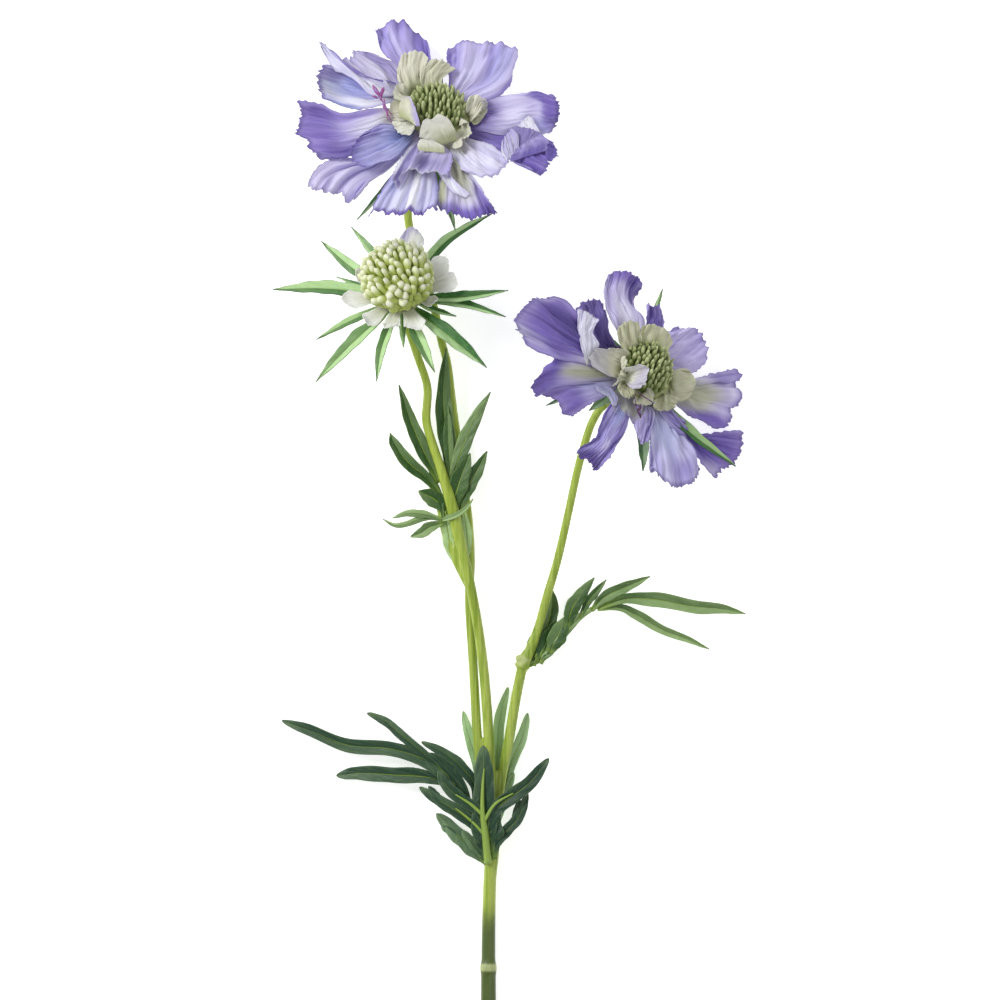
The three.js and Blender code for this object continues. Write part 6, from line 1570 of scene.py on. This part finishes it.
def florets(piece, dome, count, name, size, stretch, spread, brush, lobing=0.04, balls=0):
    """Unopened florets on a dome in the spiral order of a seed head, all brushed one way.

    Brush is the azimuth that they lean to and how strongly. Lobing is how uneven they are,
    and balls is how far those on the other side are short and round.
    """
    rng = seeded(name, 3)
    profile = np.array(rounded(dome, 6))
    area = steps(profile) * (profile[1:, 0] + profile[:-1, 0])
    reached = np.concatenate([[0], np.cumsum(area)]) / area.sum()
    azimuth, strength = brush
    for k in range(count):
        share = (k + 0.5) / count
        radius = np.interp(share, reached, profile[:, 0])
        height = np.interp(share, reached, profile[:, 1])
        turn = k * GOLDEN_ANGLE + rng.normal(0, 3)
        beside = share + np.array([-0.02, 0.02])
        slope = np.interp(beside, reached, profile[:, 0])
        rise = np.interp(beside, reached, profile[:, 1])
        outward = unit(np.array([rise[1] - rise[0], slope[0] - slope[1]]))
        toward = polar(radius / dome[1][0], turn, 0) @ polar(1.4, azimuth, 0)
        ahead, ball = smooth(toward - 0.3), balls * smooth(-toward - 0.5)
        brushed = (1 - ahead) * polar(strength, azimuth, 0) + ahead * polar(1, turn + 90, 0)
        lean = unit(polar(outward[0], turn, outward[1]) + spread * UP + brushed
                    + rng.normal(0, 0.14 + lobing, 3))
        low = 1 - share
        girth = size * (0.9 + 0.5 * low ** 4) * rng.uniform(0.85 - lobing, 1.15 + lobing)
        girth = girth * (1 + 0.4 * ball)
        length = size * stretch * rng.uniform(0.85, 1.15) * (1 - 0.3 * low ** 4 - 0.3 * ball)
        rings = floret_rings(polar(radius, turn, height), lean, turn, length, girth, lobing,
                             rng)
        piece.add_rings(rings, along=np.repeat(FLORET_HEIGHTS, FLORET_SIDES),
                        seed=rng.uniform(), round=np.repeat(FLORET_WIDTHS, FLORET_SIDES))


def blades(piece, lobes, name, thickness, blunt=0, spread=0.06):
    """Leaf lobes or bracts, their depths of colour spread a little by chance."""
    for k, (width, fold, depth, *points) in enumerate(lobes):
        rng = seeded(name, k * 5 + 2)
        length = Midrib(points).length()
        u, v = grid(BLADE_COLUMNS, max(int(length / BLADE_LINE), 12), 1.1)
        surface = blade_surface(points, width, fold, rng, u, v, blunt)
        piece.add_sheet(surface, thickness, u, v, seed=rng.uniform(),
                        depth=depth + rng.uniform(-spread, spread))


def bract_lobes(name):
    """A head's bracts, written as the lobes of a leaf are."""
    foot, arch, _ = CUPS[name]
    lobes = []
    for azimuth, reach, width, tip, bow, *own in BRACTS[name]:
        more, depth = own or (0, BRACT_DEPTH)
        middle = polar((BRACT_RADIUS + reach) / 2, azimuth, (foot + tip) / 2 + arch + more)
        middle = middle + polar(bow, azimuth + 90, 0)
        lobes.append((width, BRACT_FOLD, depth, polar(BRACT_RADIUS, azimuth, foot), middle,
                      polar(reach, azimuth, tip)))
    return lobes


# ---- operators ----


class Builder(bpy.types.Operator):
    """Shared by the operators: the scene's sizes and colours."""

    bl_options = {"REGISTER", "UNDO"}

    @property
    def sizes(self):
        return bpy.context.scene.scabiosa_sizes

    @property
    def colours(self):
        return bpy.context.scene.scabiosa_colours


class SCABIOSA_OT_stem(Builder):
    """Builds the forked stem as one skin"""

    bl_idname = "scabiosa.stem"
    bl_label = "Stem"

    def execute(self, context):
        piece = Piece()
        for rows in stem_lines():
            piece.add_rings(tube_rings(rows, STEM_SIDES, STEM_SWELL))
        finish = stem_finish(self.colours)
        stem = piece.build("forked_stem", finish, "stem")
        welded(stem, STEM_VOXEL, STEM_SMOOTHING)
        stem.data.materials.clear()
        stem.data.materials.append(finish)
        return {"FINISHED"}


class SCABIOSA_OT_leaves(Builder):
    """Builds the lobed leaves at the stem's nodes"""

    bl_idname = "scabiosa.leaves"
    bl_label = "Leaves"

    def execute(self, context):
        finishes = (leaf_finish("fresh_blade"), leaf_finish("basal_blade"))
        thickness = self.sizes.blade_thickness / MM
        for name, lobes in LEAVES.items():
            piece = Piece()
            low = name.startswith("basal")
            blades(piece, lobes + SHEATHS.get(name, []), name, thickness,
                   blunt=1 if low else 0.2)
            for rows in RIBS.get(name, ()):
                piece.add_rings(tube_rings(rows, THIN_SIDES, step=0.6), across=0,
                                along=0.1, seed=0.5, depth=0.3)
            piece.build(f"lobed_{name}", finishes[low], name)
        return {"FINISHED"}


class SCABIOSA_OT_outer_petals(Builder):
    """Builds the lilac outer petals of both blooms"""

    bl_idname = "scabiosa.outer_petals"
    bl_label = "Outer petals"

    def execute(self, context):
        finish = petal_finish(self.colours)
        for name, rows in OUTER_PETALS.items():
            piece = Piece()
            edged_petals(piece, rows, "outer", name, self.sizes)
            piece.add_rings(turned_rings(LAYERS["outer"]["disc"], 48), across=0, along=0.05,
                            seed=0.5, ridge=0, depth=0.1, blue=0, fade=0.6,
                            **dict.fromkeys(WASH_TONES, 0))
            piece.place(name)
            piece.build(f"lilac_petals_{name}", finish, f"{name}_petals")
        return {"FINISHED"}


class SCABIOSA_OT_inner_petals(Builder):
    """Builds the cream inner petals of both blooms"""

    bl_idname = "scabiosa.inner_petals"
    bl_label = "Inner petals"

    def execute(self, context):
        finish = cream_finish(self.colours)
        for name, rows in INNER_PETALS.items():
            piece = Piece()
            edged_petals(piece, rows, "inner", name + "i", self.sizes)
            disc = turned_rings(LAYERS["inner"]["disc"], 48, ridge=0.03, ridges=20)
            piece.add_rings(disc, across=0, along=0.05, seed=0.5, ridge=0, flush=0,
                            greenness=0.6, white=0)
            piece.place(name)
            piece.build(f"cream_petals_{name}", finish, f"{name}_inner_petals")
        return {"FINISHED"}


class SCABIOSA_OT_stamens(Builder):
    """Builds the few stamens that stand out over the petals of each bloom"""

    bl_idname = "scabiosa.stamens"
    bl_label = "Stamens"

    def execute(self, context):
        finish = stamen_finish(self.colours)
        for name, withered in (("bloom_1", 0), ("bloom_2", 1)):
            piece = Piece()
            for rows in FILAMENTS[name] + ANTHERS[name]:
                piece.add_rings(tube_rings(rows, THIN_SIDES, step=0.3), depth=withered)
            piece.place(name)
            piece.build(f"stamens_{name}", finish, f"{name}_petals")
        return {"FINISHED"}


class SCABIOSA_OT_buttons(Builder):
    """Builds the button of unopened florets in the middle of each bloom"""

    bl_idname = "scabiosa.buttons"
    bl_label = "Buttons"

    def execute(self, context):
        colours = self.colours
        finish = floret_finish("button_floret", colours.button_foot, colours.button_crown,
                               tone(192, 200, 150), 420)
        for name in ("bloom_1", "bloom_2"):
            piece = Piece()
            piece.add_rings(dome_core(BUTTON_DOME, 2, 0.9), along=0, seed=0, round=1)
            florets(piece, BUTTON_DOME, self.sizes.button_florets, name, size=0.7,
                    stretch=6.4, spread=0.8, brush=(95, 1.5))
            piece.place(name)
            piece.build(f"button_{name}", finish, f"{name}_button")
        return {"FINISHED"}


class SCABIOSA_OT_budding_head(Builder):
    """Builds the budding head's florets and the pale petals round its rim"""

    bl_idname = "scabiosa.budding_head"
    bl_label = "Budding head"

    def execute(self, context):
        colours = self.colours
        finish = floret_finish("bud_floret", colours.bud_foot, colours.bud_crown,
                               tone(236, 235, 214), 300)
        piece = Piece()
        piece.add_rings(dome_core(BUD_DOME, -1, 0.93), along=0, seed=0, round=1)
        florets(piece, BUD_DOME, self.sizes.bud_florets, "bud", size=1.08, stretch=4.2,
                spread=0.5, brush=(120, 1.4), lobing=0.15, balls=1)
        piece.place("bud_dome")
        piece.build("florets_bud", finish, "bud_florets")
        rim = Piece()
        rng = seeded("rim", 4)
        looks = [{"flush": max(reach - RIM_PLAIN_REACH, 0),
                  "greenness": rng.uniform(-0.3, 0.1), "white": 1}
                 for _, reach, *_ in RIM_PETALS]
        petals(rim, RIM_PETALS, looks, "rim", "rim", self.sizes)
        rim.add_rings(turned_rings(LAYERS["rim"]["disc"], 40), across=0, along=0.05,
                      seed=0.5, ridge=0, flush=0, greenness=0.6, white=0)
        rim.place("bud")
        cream = bpy.data.materials.get("cream_petal") or cream_finish(colours)
        rim.build("rim_petals_bud", cream, "bud_rim_petals")
        return {"FINISHED"}


class SCABIOSA_OT_bracts(Builder):
    """Builds the green cup and bracts under each head"""

    bl_idname = "scabiosa.bracts"
    bl_label = "Bracts"

    def execute(self, context):
        finish = leaf_finish("bract_blade")
        for name, (_, _, shoulder) in CUPS.items():
            piece = Piece()
            blades(piece, bract_lobes(name), name, self.sizes.blade_thickness / MM,
                   spread=0.25)
            profile = [(0, -6.5), (2.1, -6.5), (4, -5.6), (CUP_RADIUS, shoulder),
                       (CUP_RADIUS, shoulder + 1.5), (0, shoulder + 1.6)]
            piece.add_rings(turned_rings(profile, 48, ridge=0.04, ridges=14), across=0.5,
                            along=0.4, seed=0.3, depth=0.9)
            piece.place(name)
            piece.build(f"bracts_{name}", finish, f"{name}_bracts")
        return {"FINISHED"}


class SCABIOSA_OT_stage(Builder):
    """Sets the table, the light and the camera"""

    bl_idname = "scabiosa.stage"
    bl_label = "Stage"

    def execute(self, context):
        self.table()
        for lamp in LAMPS:
            self.light(*lamp)
        self.sky()
        self.camera()
        return {"FINISHED"}

    def table(self):
        mesh = bpy.data.meshes.new("table_top")
        corners = ((-1, -1), (1, -1), (1, 1), (-1, 1))
        mesh.from_pydata([(x * TABLE_HALF, y * TABLE_HALF, 0) for x, y in corners], [],
                         [(0, 1, 2, 3)])
        table = bpy.data.objects.new("table_top", mesh)
        finish = Finish("table_white", roughness=0.9)
        finish.shader.inputs["Base Color"].default_value = (0.95, 0.95, 0.95, 1)
        finish.shader.inputs["Emission Color"].default_value = (1, 1, 1, 1)
        finish.shader.inputs["Emission Strength"].default_value = 0.55
        mesh.materials.append(finish.material)
        bpy.context.scene.collection.objects.link(table)

    def light(self, name, place, size, power):
        lamp = bpy.data.lights.new(name, "AREA")
        lamp.shape = "DISK"
        lamp.size = size
        lamp.energy = power
        holder = bpy.data.objects.new(name, lamp)
        holder.location = place
        inward = -holder.location
        holder.rotation_euler = inward.to_track_quat("-Z", "Y").to_euler()
        bpy.context.scene.collection.objects.link(holder)

    def sky(self):
        world = bpy.data.worlds.new("studio")
        world.use_nodes = True
        background = world.node_tree.nodes["Background"]
        background.inputs["Color"].default_value = (1, 1, 1, 1)
        background.inputs["Strength"].default_value = SKY_STRENGTH
        bpy.context.scene.world = world
        bpy.context.scene.view_settings.view_transform = "Standard"

    def camera(self):
        data = bpy.data.cameras.new("camera")
        data.lens = CAMERA_LENS
        data.sensor_width = 36
        data.clip_start, data.clip_end = 0.05, 20
        camera = bpy.data.objects.new("camera", data)
        camera.location = (-LAYOUT_CENTRE[0] * MM, -LAYOUT_CENTRE[1] * MM, CAMERA_HEIGHT)
        bpy.context.scene.collection.objects.link(camera)
        bpy.context.scene.camera = camera


class SCABIOSA_PT_panel(bpy.types.Panel):
    """Lists the parts of the spray"""

    bl_idname = "SCABIOSA_PT_panel"
    bl_label = "Scabiosa spray"
    bl_space_type = "VIEW_3D"
    bl_region_type = "UI"
    bl_category = "Scabiosa"

    def draw(self, context):
        for operator in OPERATORS:
            self.layout.operator(operator.bl_idname)
        for group in (context.scene.scabiosa_sizes, context.scene.scabiosa_colours):
            box = self.layout.box()
            for name in group.__annotations__:
                box.prop(group, name)


OPERATORS = (
    SCABIOSA_OT_stem,
    SCABIOSA_OT_leaves,
    SCABIOSA_OT_bracts,
    SCABIOSA_OT_outer_petals,
    SCABIOSA_OT_inner_petals,
    SCABIOSA_OT_stamens,
    SCABIOSA_OT_buttons,
    SCABIOSA_OT_budding_head,
    SCABIOSA_OT_stage,
)
CLASSES = (ScabiosaSizes, ScabiosaColours, *OPERATORS, SCABIOSA_PT_panel)


def register():
    for cls in CLASSES:
        bpy.utils.register_class(cls)
    bpy.types.Scene.scabiosa_sizes = PointerProperty(type=ScabiosaSizes)
    bpy.types.Scene.scabiosa_colours = PointerProperty(type=ScabiosaColours)


def unregister():
    del bpy.types.Scene.scabiosa_colours
    del bpy.types.Scene.scabiosa_sizes
    for cls in reversed(CLASSES):
        bpy.utils.unregister_class(cls)


def main():
    register()
    bpy.ops.scabiosa.stem()
    bpy.ops.scabiosa.leaves()
    bpy.ops.scabiosa.bracts()
    bpy.ops.scabiosa.outer_petals()
    bpy.ops.scabiosa.inner_petals()
    bpy.ops.scabiosa.stamens()
    bpy.ops.scabiosa.buttons()
    bpy.ops.scabiosa.budding_head()
    bpy.ops.scabiosa.stage()


if __name__ == "__main__":
    main()
